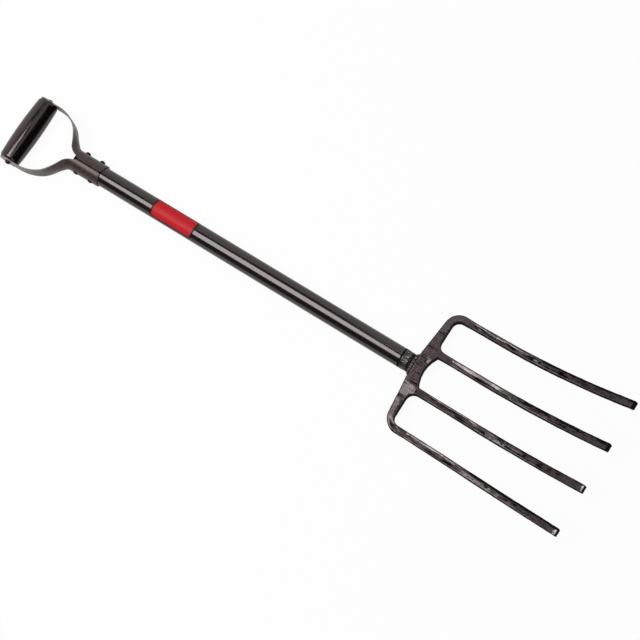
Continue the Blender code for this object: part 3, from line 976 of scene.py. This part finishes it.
@dataclass
class Handle:
    """D-handle: two pressed half shells, their rivets and the turning grip."""

    shop: Workshop
    sheet: float = 2.0 * MM
    gap: float = 0.3 * MM
    shank: float = 50.0 * MM
    shank_corner: float = 5.0 * MM
    seam: float = 1.8 * MM
    spread_radius: float = 13.0 * MM
    flank: float = 24.3 * MM
    shoulder_radius: float = 65.4 * MM
    arm: float = 4.8 * MM
    flatten_lead: float = 7.0 * MM
    flatten_length: float = 56.6 * MM
    narrow_length: float = 92.5 * MM
    strap_width: float = 19.8 * MM
    eye: float = 14.7 * MM
    eye_sweep: float = 86.0
    edge_round: float = 0.85 * MM
    columns: int = 36
    round_steps: int = 10
    leg_steps: tuple[int, ...] = (12, 12, 10, 22, 3)
    shank_rivet: float = 2.5 * MM
    shank_rivet_head: tuple[float, float] = (4.4 * MM, 3.2 * MM)
    shank_rivet_tail: tuple[float, float] = (4.0 * MM, 1.4 * MM)
    grip_rivet: float = 3.0 * MM
    grip_rivet_head: tuple[float, float] = (4.75 * MM, 3.8 * MM)
    rivet_sides: int = 48
    dome_steps: int = 9
    crown: float = 0.12 * MM
    grip_bore: float = 3.3 * MM
    grip_middle: float = 18.4 * MM
    grip_end: float = 16.6 * MM
    grip_end_round: float = 4.0 * MM
    grip_sides: int = 128
    grip_steps: int = 24

    @cached_property
    def shell_radius(self) -> float:
        """Radius of the shells' middle surface."""
        return self.shop.tube_radius + self.gap + self.sheet / 2

    @cached_property
    def strap_offset(self) -> float:
        """Distance of the straps' middle surface from the shaft's axis at the grip."""
        low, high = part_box("grip")
        return (high[1] - low[1]) / 2 + self.gap + self.sheet / 2

    @cached_property
    def spread_angle(self) -> float:
        """Angle by which the straps turn away from the shaft."""
        radii = self.spread_radius + self.shoulder_radius
        rise = self.strap_offset - self.shell_radius
        angle = math.acos((radii - rise) / math.hypot(radii, self.flank))
        return angle - math.atan2(self.flank, radii)

    @cached_property
    def grip_centre(self) -> Vector:
        """Middle of the grip."""
        low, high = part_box("grip")
        return (Vector(low) + Vector(high)) / 2

    def strap_line(self) -> list[tuple[float, float, float, float]]:
        """Follow the strap's middle line from the shank's free end to the grip's axis.

        Returns:
            Stations as travel, place along X, distance from the axis and heading.
        """
        angle = self.spread_angle
        legs = (
            (self.shank_corner, 0.0),
            (self.shank - self.shank_corner, 0.0),
            (self.spread_radius * angle, angle),
            (self.flank, 0.0),
            (self.shoulder_radius * angle, -angle),
            (self.arm, 0.0),
            (self.eye, 0.0),
        )
        all_steps = (self.round_steps, *self.leg_steps, self.round_steps)
        travel, x, y, heading = 0.0, self.shank, self.shell_radius, 0.0
        stations = [(travel, x, y, heading)]
        for (length, turn), steps in zip(legs, all_steps):
            step = length / steps
            bend = turn / steps
            chord = 2.0 * step / bend * math.sin(bend / 2) if bend else step
            for _ in range(steps):
                x -= chord * math.cos(heading + bend / 2)
                y += chord * math.sin(heading + bend / 2)
                heading += bend
                travel += step
                stations.append((travel, x, y, heading))
        return stations

    def strap_section(self, travel: float, to_eye: float) -> tuple[float, float]:
        """Return the sheet's section at a place along the strap.

        Args:
            travel: Distance from the shank's free end.
            to_eye: Distance to the grip's axis.

        Returns:
            Half the sheet's flat width, and its curvature.
        """
        shell_half = self.shell_radius * math.cos(self.seam / 2 / self.shell_radius)
        narrowed = smooth_step((travel - self.shank) / self.narrow_length)
        half = shell_half + (self.strap_width / 2 - shell_half) * narrowed
        lead = travel - self.shank + self.flatten_lead
        curvature = (1.0 - smooth_step(lead / self.flatten_length)) / self.shell_radius
        if curvature > 0.0:
            half = math.asin(half * curvature) / curvature
        short = max(0.0, self.shank_corner - travel)
        half -= self.shank_corner - math.sqrt(self.shank_corner**2 - short**2)
        eye = max(0.0, self.eye**2 - to_eye**2)
        return max(half, math.sqrt(eye)), curvature

    def strap_row(
        self,
        place: tuple[float, float, float],
        half: float,
        curvature: float,
        side: Side,
    ) -> list[Vector]:
        """Return the points across the sheet at one station.

        Args:
            place: Place along X, distance from the axis and heading.
            half: Half the sheet's flat width.
            curvature: Curvature of the section.
            side: Half of the handle.

        Returns:
            Points from the lower to the upper edge.
        """
        x, y, heading = place
        row = []
        for across in spread(-half, half, self.columns):
            inward, height = 0.0, across
            if curvature > 0.0:
                inward = (1.0 - math.cos(across * curvature)) / curvature
                height = math.sin(across * curvature) / curvature
            along = x - inward * math.sin(heading)
            out = y - inward * math.cos(heading)
            row.append(self.shop.handle_end + Vector((along, side.value * out, height)))
        return row

    def build_yoke(
        self,
        side: Side,
        coat: bpy.types.Material,
        rim: bpy.types.Material,
    ) -> None:
        """Press one half shell: shank, strap and the eye over the grip's end.

        Args:
            side: Half of the handle.
            coat: Material of the sheet.
            rim: Material of its sheared edges, lighter as a painted highlight.
        """
        stations = self.strap_line()
        whole = stations[-1][0]
        rows = []
        for travel, x, y, heading in stations:
            half, curvature = self.strap_section(travel, whole - travel)
            rows.append(self.strap_row((x, y, heading), half, curvature, side))
        reach = self.grip_centre.x - self.shop.handle_end.x
        for angle in spread(0.0, math.radians(self.eye_sweep), 2 * self.round_steps)[1:]:
            place = (reach - self.eye * math.sin(angle), self.strap_offset, 0.0)
            rows.append(self.strap_row(place, self.eye * math.cos(angle), 0.0, side))
        name = f"{side.name.lower()}_yoke"
        yoke = shaped_grid(f"{name}_pressed", rows)
        for finish in (coat, rim):
            yoke.data.materials.append(finish)
        # Rims and rounded edges take the lighter edge coat: a painted highlight.
        apply_modifier(
            yoke, "SOLIDIFY", thickness=self.sheet, offset=0.0, material_offset_rim=1
        )
        face_outwards(yoke)
        apply_modifier(
            yoke,
            "BEVEL",
            width=self.edge_round,
            segments=3,
            limit_method="ANGLE",
            angle_limit=math.radians(50.0),
            material=1,
        )
        shade(yoke, angle=40.0)
        self.shop.dress(yoke, name, Body.FRAME, Slot.BROWN_COAT)

    def dome(self, seat: float, radius: float, height: float) -> list[tuple[float, float]]:
        """Return a rivet head's outline from its rim to its crown.

        Args:
            seat: Place of the rim along the rivet.
            radius: Radius of the rim.
            height: Height of the crown, negative towards the rivet's start.

        Returns:
            Places along the rivet and radii.
        """
        angles = spread(0.0, math.pi / 2, self.dome_steps)
        return [
            (seat + height * math.sin(a), max(radius * math.cos(a), self.crown)) for a in angles
        ]

    def build_rivet(
        self,
        node: str,
        shank: float,
        head: tuple[float, float],
        tail: tuple[float, float],
        coat: bpy.types.Material,
    ) -> None:
        """Set one rivet along Y with its head on +Y.

        Args:
            node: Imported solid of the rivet.
            shank: Radius of its shank.
            head: Radius and height of the head.
            tail: Radius and height of the tail.
            coat: Material of the rivet.
        """
        low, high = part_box(node)
        centre = Vector(((low[0] + high[0]) / 2, 0.0, (low[2] + high[2]) / 2))
        head_seat = high[1] - head[1]
        tail_seat = low[1] + tail[1]
        outline = list(reversed(self.dome(tail_seat, tail[0], -tail[1])))
        outline += [(tail_seat, shank), (head_seat, shank)]
        outline += self.dome(head_seat, head[0], head[1])
        rivet = turn_on_lathe(
            f"{node}_set", outline, self.rivet_sides, centre, Spindle.ALONG_Y, bored=False
        )
        shade(rivet, angle=50.0)
        self.shop.dress(rivet, node, Body.FRAME, Slot.POWDER_COAT, coat)

    def build_rivets(self, coat: bpy.types.Material) -> None:
        """Set the two shank rivets and the long one that the grip turns on."""
        head, tail = self.shank_rivet_head, self.shank_rivet_tail
        for node in ("front_shank_rivet", "rear_shank_rivet"):
            self.build_rivet(node, self.shank_rivet, head, tail, coat)
        ends = self.grip_rivet_head
        self.build_rivet("grip_rivet", self.grip_rivet, ends, ends, coat)

    def build_grip(self, lacquer: bpy.types.Material) -> None:
        """Turn the barrel grip with its bore.

        Args:
            lacquer: Material of the grip.
        """
        low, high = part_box("grip")
        half = (high[1] - low[1]) / 2
        barrel = half - self.grip_end_round
        swell = self.grip_middle - self.grip_end
        middle = [
            (barrel * share, self.grip_end + swell * (1.0 - share**2))
            for share in spread(-1.0, 1.0, self.grip_steps)
        ]
        rounded = []
        for angle in spread(0.0, math.pi / 2, self.round_steps)[1:]:
            along = barrel + self.grip_end_round * math.sin(angle)
            rounded.append((along, self.grip_end - self.grip_end_round * (1.0 - math.cos(angle))))
        other = [(-along, radius) for along, radius in reversed(rounded)]
        outline = [(-half, self.grip_bore), *other, *middle, *rounded, (half, self.grip_bore)]
        grip = turn_on_lathe(
            "grip_turned", outline, self.grip_sides, self.grip_centre, Spindle.ALONG_Y, bored=True
        )
        shade(grip, angle=40.0)
        self.shop.dress(grip, "grip", Body.GRIP, Slot.HARDWOOD, lacquer)


@dataclass(frozen=True)
class Tine:
    """One tine: its root's place, its splay, the hammered flat on its left edge and its wear."""

    root_y: float
    splay: float
    start: float
    crease: float
    tilt: float
    wear: float


@dataclass(frozen=True)
class Flat:
    """Hammered flat on the crossbar's top, by its middle's place from the back's middle."""

    along: float
    y: float
    half_length: float
    half_width: float
    tilt: float
    turn: float = 216.0

    def drop(self, along: float, y: float) -> float:
        """Return how far the flat lies below the top at a place, with soft edges."""
        ahead = along - self.along
        aside = y - self.y
        reach = max(abs(ahead) / self.half_length, abs(aside) / self.half_width)
        fall = Vector((math.cos(math.radians(self.turn)), math.sin(math.radians(self.turn))))
        deepest = abs(fall.x) * self.half_length + abs(fall.y) * self.half_width
        below = ahead * fall.x + aside * fall.y + deepest
        return below * math.tan(math.radians(self.tilt)) * (1.0 - smooth_step(2.0 * reach - 1.0))


@dataclass
class Head:
    """Forged head with its neck and welds."""

    shop: Workshop
    head_voxel: float = 0.86 * MM
    neck_voxel: float = 0.6 * MM
    weld_voxel: float = 0.36 * MM
    head_smoothing: int = 4
    neck_smoothing: int = 2
    weld_smoothing: int = 1
    rough_angle: float = 80.0
    tine_stretch: tuple[float, float, float] = (2.4, 1.0, 1.0)
    crossbar_stretch: tuple[float, float, float] = (1.0, 2.0, 1.0)
    neck_lumps: Lumps = Lumps(size_mm=4.0, height_mm=0.7)
    weld_lumps: Lumps = Lumps(size_mm=2.4, height_mm=0.9)
    ripples: int = 30
    ripple_height: float = 0.22 * MM
    drops: int = 34
    drop_seed: int = 7
    drop_turns: tuple[float, float] = (-0.9, 1.4)
    drop_sizes: tuple[float, float] = (0.35, 0.85)
    drop_shapes: tuple[float, float] = (0.8, 1.3)
    drop_height: float = 0.7
    drop_reach: float = 10.0 * MM
    drop_start: float = 30.0 * MM
    length: float = 298.0 * MM
    root_reach: float = 45.0 * MM
    splay_power: float = 1.65
    bend_start: float = 107.6 * MM
    bend_rise: float = 45.6 * MM
    half_thickness: float = 4.9 * MM
    crossbar_depth: float = 17.6 * MM
    calm_y: float = 55.0 * MM
    calm_reach: float = 30.0 * MM
    calm_matt: float = 0.36
    flat_growth: float = 12.0 * MM
    waver: float = 0.5 * MM
    waver_length: float = 7.0 * MM
    # The edge, side, shear and matt settings below set the painted shade on the tines' sides and
    # ends.
    edge_from: float = 0.10
    left_from: float = 0.06
    edge_span: float = 0.08
    edge_share: float = 0.85
    edge_growth: float = 35.0 * MM
    right_start: float = 50.0 * MM
    left_start: float = 122.0 * MM
    sheared_reach: float = 7.0 * MM
    shoulder: tuple[float, float] = (27.6 * MM, -75.05 * MM)
    shoulder_crest: float = 14.5 * MM
    shoulder_tilt: float = 6.5
    shoulder_fade: float = 32.0 * MM
    tine_fade: float = 9.0 * MM
    neck_swell: float = 1.5 * MM
    flats: tuple[Flat, ...] = (
        Flat(11.0 * MM, -39.5 * MM, half_length=16.0 * MM, half_width=13.0 * MM, tilt=4.5),
        Flat(16.5 * MM, 13.0 * MM, half_length=6.0 * MM, half_width=5.0 * MM, tilt=7.0),
    )
    wear_reach: float = 20.0 * MM
    matt_from: float = 0.98
    matt_span: float = 0.09
    dull_above: float = 0.9
    tines: tuple[Tine, ...] = (
        Tine(93.05 * MM, splay=10.1 * MM, start=44.0 * MM, crease=1.6 * MM, tilt=11.0, wear=0.0),
        Tine(30.95 * MM, splay=2.8 * MM, start=22.0 * MM, crease=-0.4 * MM, tilt=9.0, wear=0.0),
        Tine(-30.95 * MM, splay=-2.8 * MM, start=30.0 * MM, crease=3.2 * MM, tilt=12.0, wear=0.9),
        Tine(-93.05 * MM, splay=-10.1 * MM, start=24.0 * MM, crease=1.3 * MM, tilt=11.0, wear=1.0),
    )

    @cached_property
    def back_x(self) -> float:
        """Place of the crossbar's back along the shaft."""
        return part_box("fork_head")[0][0]

    def calm_share(self, along: float, y: float) -> float:
        """Return how smoothly the head is forged at a place: fully on the left bend.

        Args:
            along: Distance from the crossbar's back.
            y: Place across the head.

        Returns:
            Share from 0 to 1.
        """
        left = smooth_step((y - self.calm_y) / self.crossbar_depth)
        return left * (1.0 - smooth_step((along - self.calm_reach) / self.crossbar_depth))

    def mark_zones(self, fork: bpy.types.Object) -> None:
        """Group the crossbar's points and the tines' points, with a soft change between.

        Args:
            fork: Fine mesh of the head.
        """
        groups = {zone: fork.vertex_groups.new(name=zone.value) for zone in Zone}
        for vertex in fork.data.vertices:
            along = vertex.co.x - self.back_x
            drawn = smooth_step((along - self.crossbar_depth) / self.crossbar_depth)
            calm = self.calm_share(along, vertex.co.y)
            groups[Zone.TINES].add([vertex.index], drawn * (1.0 - calm), "REPLACE")
            groups[Zone.CROSSBAR].add([vertex.index], (1.0 - drawn) * (1.0 - calm), "REPLACE")

    def tine_at(self, y: float) -> Tine:
        """Return the tine that a place across the head belongs to."""
        halfway = (self.tines[0].root_y + self.tines[1].root_y) / 2
        outer = abs(y) > halfway
        if y > 0.0:
            return self.tines[0 if outer else 1]
        return self.tines[3 if outer else 2]

    def flat_drop(self, along: float, y: float) -> float:
        """Return how far a tine's top slopes down on its left side.

        Args:
            along: Distance from the crossbar's back.
            y: Place across the head.

        Returns:
            Depth of the hammered flat there.
        """
        tine = self.tine_at(y)
        reach = max(0.0, along - self.root_reach) / (self.length - self.root_reach)
        across = y - tine.root_y - tine.splay * reach**self.splay_power
        beyond = across - tine.crease - self.waver * math.sin(along / self.waver_length)
        grown = smooth_step((along - tine.start) / self.flat_growth)
        return max(0.0, beyond) * math.tan(math.radians(tine.tilt)) * grown

    def shoulder_drop(self, along: float, y: float) -> float:
        """Return how far the right shoulder's outer half is rounded down.

        Args:
            along: Distance from the crossbar's back.
            y: Place across the head.

        Returns:
            Depth of the rounding there.
        """
        ahead = along - self.shoulder[0]
        inboard = y - self.shoulder[1]
        radius = math.hypot(min(ahead, 0.0), min(inboard, 0.0))
        beyond = max(0.0, radius - self.shoulder_crest)
        faded = max(ahead / self.tine_fade, inboard / self.shoulder_fade)
        left = 1.0 - smooth_step(faded)
        return beyond * math.tan(math.radians(self.shoulder_tilt)) * left

    def hammer(self, fork: bpy.types.Object) -> None:
        """Shape the head's top as a hammer leaves it: flats and a round shoulder.

        The shapes follow four bent tines at once, so the points are moved one by one.

        Args:
            fork: Fine mesh of the head.
        """
        middle_z = self.shop.handle_end.z
        for vertex in fork.data.vertices:
            along, y = vertex.co.x - self.back_x, vertex.co.y
            bend = max(0.0, along - self.bend_start) / (self.length - self.bend_start)
            height = vertex.co.z - middle_z - self.bend_rise * bend**2
            if height <= 0.0:
                continue
            drop = self.flat_drop(along, y) + self.shoulder_drop(along, y)
            drop += sum(flat.drop(along, y) for flat in self.flats)
            vertex.co.z -= drop * min(1.0, height / self.half_thickness)

    def matt_shade_share(self, along: float, normal: Vector) -> float:
        """Return how far painted shade darkens and dulls the lacquer: less on right edges than on
        sides.

        Args:
            along: Distance from the crossbar's back.
            normal: Direction that the surface faces.

        Returns:
            Share from 0 to 1.
        """
        bend = max(0.0, along - self.bend_start)
        lean = 2.0 * self.bend_rise * bend / (self.length - self.bend_start) ** 2
        level = abs(normal.dot(Vector((-lean, 0.0, 1.0)).normalized()))
        steep = smooth_step((self.matt_from - level) / self.matt_span)
        right = smooth_step((-normal.y - self.edge_from) / self.edge_span)
        right *= smooth_step((along - self.right_start) / self.edge_growth)
        left = smooth_step((normal.y - self.left_from) / self.edge_span)
        left *= smooth_step((along - self.left_start) / self.edge_growth)
        return max(steep, left, self.edge_share * right)

    def mark_finish(self, fork: bpy.types.Object) -> None:
        """Mark the painted shade of sides and ends, the darker smooth left bend, and corners bared
        by soil.

        Args:
            fork: Fine mesh of the head.
        """
        tip_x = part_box("fork_head")[1][0]
        sides = fork.data.attributes.new(Mark.MATT_SIDE.value, "FLOAT", "POINT")
        corners = fork.data.attributes.new(Mark.WORN_TIP.value, "FLOAT", "POINT")
        for vertex in fork.data.vertices:
            from_tip = tip_x - vertex.co.x
            along = vertex.co.x - self.back_x
            wear = self.tine_at(vertex.co.y).wear
            # Sheared ends of unworn tines are darkened as painted shade.
            sheared = smooth_step((self.sheared_reach - from_tip) / MM) * (1.0 - wear)
            calm = self.calm_matt * self.calm_share(along, vertex.co.y)
            matt = self.matt_shade_share(along, vertex.normal)
            sides.data[vertex.index].value = max(matt, sheared, calm)
            corners.data[vertex.index].value = smooth_step(1.0 - from_tip / self.wear_reach) * wear

    def reforge(
        self,
        node: str,
        name: str,
        voxel: float,
        smoothing: int,
    ) -> bpy.types.Object:
        """Copy a solid as an even fine mesh with soft edges.

        Args:
            node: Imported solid.
            name: Name of the new piece.
            voxel: Size of its faces.
            smoothing: Rounds of smoothing of its edges.

        Returns:
            The finer piece.
        """
        piece = copy_solid(self.shop.nodes[node], name)
        apply_modifier(piece, "REMESH", mode="VOXEL", voxel_size=voxel)
        apply_modifier(piece, "SMOOTH", factor=0.5, iterations=smoothing)
        return piece

    def build_fork(self, lacquer: bpy.types.Material, dull: bpy.types.Material) -> None:
        """Forge the crossbar and tines with hammered faces.

        Args:
            lacquer: Material of the head.
            dull: Material of its sides and sheared ends, near black as painted shade.
        """
        along, across = self.tine_stretch, self.crossbar_stretch
        lumps = (
            Lumps(size_mm=10.0, height_mm=0.62, level=0.62, stretch=along, zone=Zone.TINES),
            Lumps(size_mm=3.8, height_mm=0.22, level=0.55, stretch=along, zone=Zone.TINES),
            Lumps(size_mm=9.0, height_mm=0.32, level=0.62, stretch=across, zone=Zone.CROSSBAR),
            Lumps(size_mm=3.2, height_mm=0.15, level=0.55, stretch=across, zone=Zone.CROSSBAR),
        )
        name = "fork_head_forged"
        fork = self.reforge("fork_head", name, self.head_voxel, self.head_smoothing)
        self.mark_zones(fork)
        for layer in lumps:
            layer.press_into(fork)
        self.hammer(fork)
        self.mark_finish(fork)
        for finish in (lacquer, dull):
            fork.data.materials.append(finish)
        # Faces fully in the painted shade take the near-black side material.
        sides = fork.data.attributes[Mark.MATT_SIDE.value].data
        for face in fork.data.polygons:
            face.material_index = int(min(sides[i].value for i in face.vertices) > self.dull_above)
        shade(fork, angle=self.rough_angle)
        self.shop.dress(fork, "fork_head", Body.FRAME, Slot.FORGED)

    def build_neck(self, lacquer: bpy.types.Material) -> bpy.types.Object:
        """Make the neck's plug with the lumpy skin of a ground weld.

        Args:
            lacquer: Material of the neck.

        Returns:
            The neck.
        """
        name = "neck_plug_ground"
        neck = self.reforge("neck_plug", name, self.neck_voxel, self.neck_smoothing)
        middle = self.shop.handle_end
        tube_end = middle.x + self.shop.tube_length
        for vertex in neck.data.vertices:
            outward = Vector((0.0, vertex.co.y - middle.y, vertex.co.z - middle.z))
            shown = smooth_step((vertex.co.x - tube_end) / self.neck_swell)
            vertex.co += outward.normalized() * shown * self.neck_swell
        self.neck_lumps.press_into(neck)
        shade(neck, angle=self.rough_angle)
        self.shop.dress(neck, "neck_plug", Body.FRAME, Slot.FORGED, lacquer)
        return neck

    def build_weld(self, node: str, metal: bpy.types.Material) -> bpy.types.Object:
        """Lay a weld bead with its ripples round the neck.

        Args:
            node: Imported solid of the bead.
            metal: Material of the bead.

        Returns:
            The bead.
        """
        bead = self.reforge(node, f"{node}_rippled", self.weld_voxel, self.weld_smoothing)
        self.weld_lumps.press_into(bead)
        middle = self.shop.handle_end
        outward = [vertex.normal.copy() for vertex in bead.data.vertices]
        for vertex, normal in zip(bead.data.vertices, outward):
            angle = math.atan2(vertex.co.y - middle.y, vertex.co.z - middle.z)
            crest = abs(math.sin(angle * self.ripples / 2)) - 0.5
            vertex.co += normal * (crest * self.ripple_height)
        shade(bead, angle=self.rough_angle)
        self.shop.dress(bead, node, Body.FRAME, Slot.WELD, metal)
        return bead

    def build_spatter(
        self,
        carriers: Sequence[bpy.types.Object],
        metal: bpy.types.Material,
    ) -> None:
        """Scatter drops of weld spatter on the neck, half sunk in what carries them.

        Args:
            carriers: Pieces that the drops stick to.
            metal: Material of the drops.
        """
        dice = random.Random(self.drop_seed)
        low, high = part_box("head_weld")
        middle = self.shop.handle_end
        release()
        bpy.ops.mesh.primitive_ico_sphere_add(subdivisions=2, radius=1.0)
        pattern = bpy.context.object
        drops = []
        for number in range(self.drops):
            along = dice.uniform(low[0] - self.drop_reach, high[0])
            angle = dice.uniform(*self.drop_turns)
            outward = Vector((0.0, math.sin(angle), math.cos(angle)))
            start = Vector((along, middle.y, middle.z)) + outward * self.drop_start
            hits = [carrier.ray_cast(start, -outward) for carrier in carriers]
            found = [(hit[1], hit[2]) for hit in hits if hit[0]]
            size = dice.uniform(*self.drop_sizes) * MM
            if not found:
                continue
            point, normal = min(found, key=lambda hit: (hit[0] - start).length)
            drop = pattern.copy()
            drop.data = pattern.data.copy()
            bpy.context.scene.collection.objects.link(drop)
            drop.name = f"drop_{number}"
            length = size * dice.uniform(*self.drop_shapes)
            drop.scale = (size, length, size * self.drop_height)
            drop.rotation_euler = normal.to_track_quat("Z", "Y").to_euler()
            drop.location = point
            drops.append(drop)
        bpy.data.objects.remove(pattern, do_unlink=True)
        release()
        for drop in drops:
            drop.select_set(True)
        bpy.context.view_layer.objects.active = drops[0]
        bpy.ops.object.join()
        spatter = bpy.context.object
        spatter.name = "weld_spatter"
        settle(spatter)
        shade(spatter, angle=self.rough_angle)
        self.shop.dress(spatter, None, Body.FRAME, Slot.WELD, metal)


@dataclass(frozen=True)
class Panel:
    """Flat panel of the studio: a lamp's face, or a dark card that only reflections show."""

    name: str
    place: tuple[float, float, float]
    size: tuple[float, float]
    turn: tuple[float, float, float] = (0.0, 0.0, 0.0)
    watts: float = 0.0

    def hang(self, black: bpy.types.Material) -> None:
        """Hang the panel as a soft lamp where it has power, else as a dark card.

        Args:
            black: Material of a card.
        """
        release()
        turn = [math.radians(angle) for angle in self.turn]
        if self.watts > 0.0:
            bpy.ops.object.light_add(type="AREA", location=self.place, rotation=turn)
            lamp = bpy.context.object
            lamp.data.shape = "RECTANGLE"
            lamp.data.size, lamp.data.size_y = self.size
            lamp.data.energy = self.watts
        else:
            bpy.ops.mesh.primitive_plane_add(size=1.0, location=self.place, rotation=turn)
            bpy.context.object.scale = (*self.size, 1.0)
            bpy.context.object.data.materials.append(black)
            bpy.context.object.visible_diffuse = False
            bpy.context.object.visible_shadow = False
        bpy.context.object.name = self.name
        bpy.context.object.visible_camera = False


@dataclass
class Studio:
    """White floor, an overhead softbox, a small one by the head, dark cards and the camera."""

    eye: tuple[float, float, float] = (0.584259, -0.37944, 2.25576)
    right: tuple[float, float, float] = (0.83256, 0.54338, -0.10763)
    down: tuple[float, float, float] = (0.50558, -0.82479, -0.25321)
    lens: float = 90.0
    sensor: float = 36.0
    shift_x: float = -0.00078
    shift_y: float = 0.00078
    floor_size: float = 60.0
    floor_colour: str = "#e6e6e6"
    floor_roughness: float = 0.9
    floor_glow: float = 0.95
    floor_mirrored: float = 0.5
    sky_fill: float = 0.15
    card_colour: str = "#030303"
    panels: tuple[Panel, ...] = (
        Panel("softbox", (-1.166, -1.06, 3.2), (2.592, 2.13), (0.0, 0.0, 36.0), watts=114.0),
        Panel("head_softbox", (-0.16, 1.6, 3.2), (0.42, 0.9), watts=18.6),
        Panel("front_card", (-1.5, -4.0, 2.5), (5.4, 5.0), (90.0, 0.0, 0.0)),
        Panel("gap_card", (-2.147, 0.232, 3.2), (3.0, 1.1), (0.0, 0.0, 36.0)),
        Panel("head_card", (-0.173, 0.40, 3.2), (0.71, 1.05), (0.0, 0.0, 36.0)),
        Panel("grip_card", (-0.34, 0.8, 1.6), (0.54, 0.8)),
        Panel("tip_card", (-2.7, 2.2, 3.2), (1.4, 1.4)),
        Panel("end_card", (3.2, 0.5, 3.0), (5.0, 6.0), (90.0, 0.0, 90.0)),
    )

    def seen_share(
        self,
        tree: bpy.types.NodeTree,
        mirrored: float,
    ) -> bpy.types.Node:
        """Return a node that gives more than 0 for rays that show the surroundings.

        Args:
            tree: Node tree that takes the nodes.
            mirrored: Value for glossy and transmission rays.

        Returns:
            Node that gives 1 for camera rays and this value for mirrored ones.
        """
        path = add_node(tree, Kind.RAYS, {}).outputs
        glossy = {0: path["Is Glossy Ray"], 1: path["Is Transmission Ray"]}
        bounced = add_node(tree, Kind.MATH, glossy, operation="MAXIMUM")
        dimmed = add_node(tree, Kind.MATH, {0: bounced, 1: mirrored}, operation="MULTIPLY")
        straight = {0: path["Is Camera Ray"], 1: dimmed}
        return add_node(tree, Kind.MATH, straight, operation="MAXIMUM")

    def build_floor(self) -> None:
        """Lay the pale floor, which glows white where it is seen and keeps a soft shadow."""
        release()
        bpy.ops.mesh.primitive_plane_add(size=self.floor_size)
        floor = bpy.context.object
        floor.name = "studio_floor"
        material, tree, shader = new_material("painted_studio_floor")
        paint = {"Roughness": self.floor_roughness, "Specular IOR Level": 0.0}
        plug(tree, shader, {"Base Color": linear(self.floor_colour), **paint})
        glow = add_node(tree, Kind.GLOW, {"Strength": 1.0})
        seen = {0: self.seen_share(tree, self.floor_mirrored), 1: self.floor_glow}
        share = add_node(tree, Kind.MATH, seen, operation="MULTIPLY")
        mixed = add_node(tree, Kind.BLEND, {0: share, 1: shader, 2: glow})
        plug(tree, tree.nodes["Material Output"], {"Surface": mixed})
        floor.data.materials.append(material)

    def build_panels(self) -> None:
        """Hang the lamps and the dark cards."""
        black, tree, shader = new_material("black_card")
        felt = {"Roughness": 1.0, "Specular IOR Level": 0.0}
        plug(tree, shader, {"Base Color": linear(self.card_colour), **felt})
        for panel in self.panels:
            panel.hang(black)

    def build_room(self) -> None:
        """Set the even light of the white room."""
        world = bpy.data.worlds.new("white_room")
        world.use_nodes = True
        bpy.context.scene.world = world
        tree = world.node_tree
        levels = {"Value": self.seen_share(tree, 1.0), "To Min": self.sky_fill, "To Max": 1.0}
        strength = add_node(tree, Kind.RANGE, levels)
        plug(tree, tree.nodes["Background"], {"Color": WHITE, "Strength": strength})

    def build_camera(self) -> None:
        """Stand the camera where the photograph was taken from."""
        data = bpy.data.cameras.new("photo_camera")
        data.lens = self.lens
        data.sensor_width = self.sensor
        data.shift_x = self.shift_x
        data.shift_y = self.shift_y
        camera = bpy.data.objects.new("photo_camera", data)
        bpy.context.scene.collection.objects.link(camera)
        right = Vector(self.right).normalized()
        up = -Vector(self.down).normalized()
        turn = Matrix((right, up, right.cross(up))).transposed()
        camera.matrix_world = Matrix.Translation(self.eye) @ turn.to_4x4()
        bpy.context.scene.camera = camera

    def build(self) -> None:
        """Set up the whole studio."""
        self.build_floor()
        self.build_panels()
        self.build_room()
        self.build_camera()
        bpy.context.scene.view_settings.view_transform = "Standard"


def main() -> None:
    """Build every sub-assembly in order and set up the studio."""
    logging.basicConfig(level=logging.INFO, format="%(name)s: %(message)s")
    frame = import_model()
    shop = Workshop(frame["nodes"])
    shaft = Shaft(shop)
    handle = Handle(shop)
    head = Head(shop)
    # The sheet's edges get a lighter coat: a painted highlight along every rim and rounded edge.
    rim = PressedSteelCoat("sheet_edge_painted_highlight", "#6e625e", "#968a85", gloss=(0.26, 0.34))
    blackened = PowderCoat("blackened_rivet_steel", film="#0b0707", specular=0.22)
    lacquer = LacqueredHardwood(axis_x=handle.grip_centre.x)
    film = PrintedFilm(
        length_mm=shaft.label_length / MM,
        width_mm=shaft.label_width / MM,
        corner_mm=shaft.label_corner / MM,
    )
    forged = ForgedLacquer(crossbar_x=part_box("head_weld")[1][0])
    # Near-black material of the tines' sides and sheared ends: painted shade.
    sheared = DullSteel("tine_sides_painted_shade", metal="#080505")
    collar = WeldMetal("ground_neck_steel", "#342a28", chips=Pattern(1.4, low=0.66, high=0.72))
    ground = WeldMetal("ground_weld_steel", "#1d1614", chips=Pattern(2.4, low=0.66, high=0.72))
    bright = WeldMetal("bright_weld_spatter", chips=Pattern(1.4, low=0.46, high=0.52))

    # The tube's ends under the shells and by the weld are painted shade.
    shaft.build_tube(PowderCoat().material(), DullSteel("tube_ends_painted_shade").material())
    shaft.build_label(film.material())

    sheet_coat, rim_coat = PressedSteelCoat().material(), rim.material()
    for side in Side:
        handle.build_yoke(side, sheet_coat, rim_coat)
    handle.build_rivets(blackened.material())
    handle.build_grip(lacquer.material())

    head.build_fork(forged.material(), sheared.material())
    carriers = [
        head.build_neck(collar.material()),
        head.build_weld("tube_weld", ground.material()),
        head.build_weld("head_weld", WeldMetal().material()),
    ]
    head.build_spatter(carriers, bright.material())

    Studio().build()


if __name__ == "__main__":
    main()
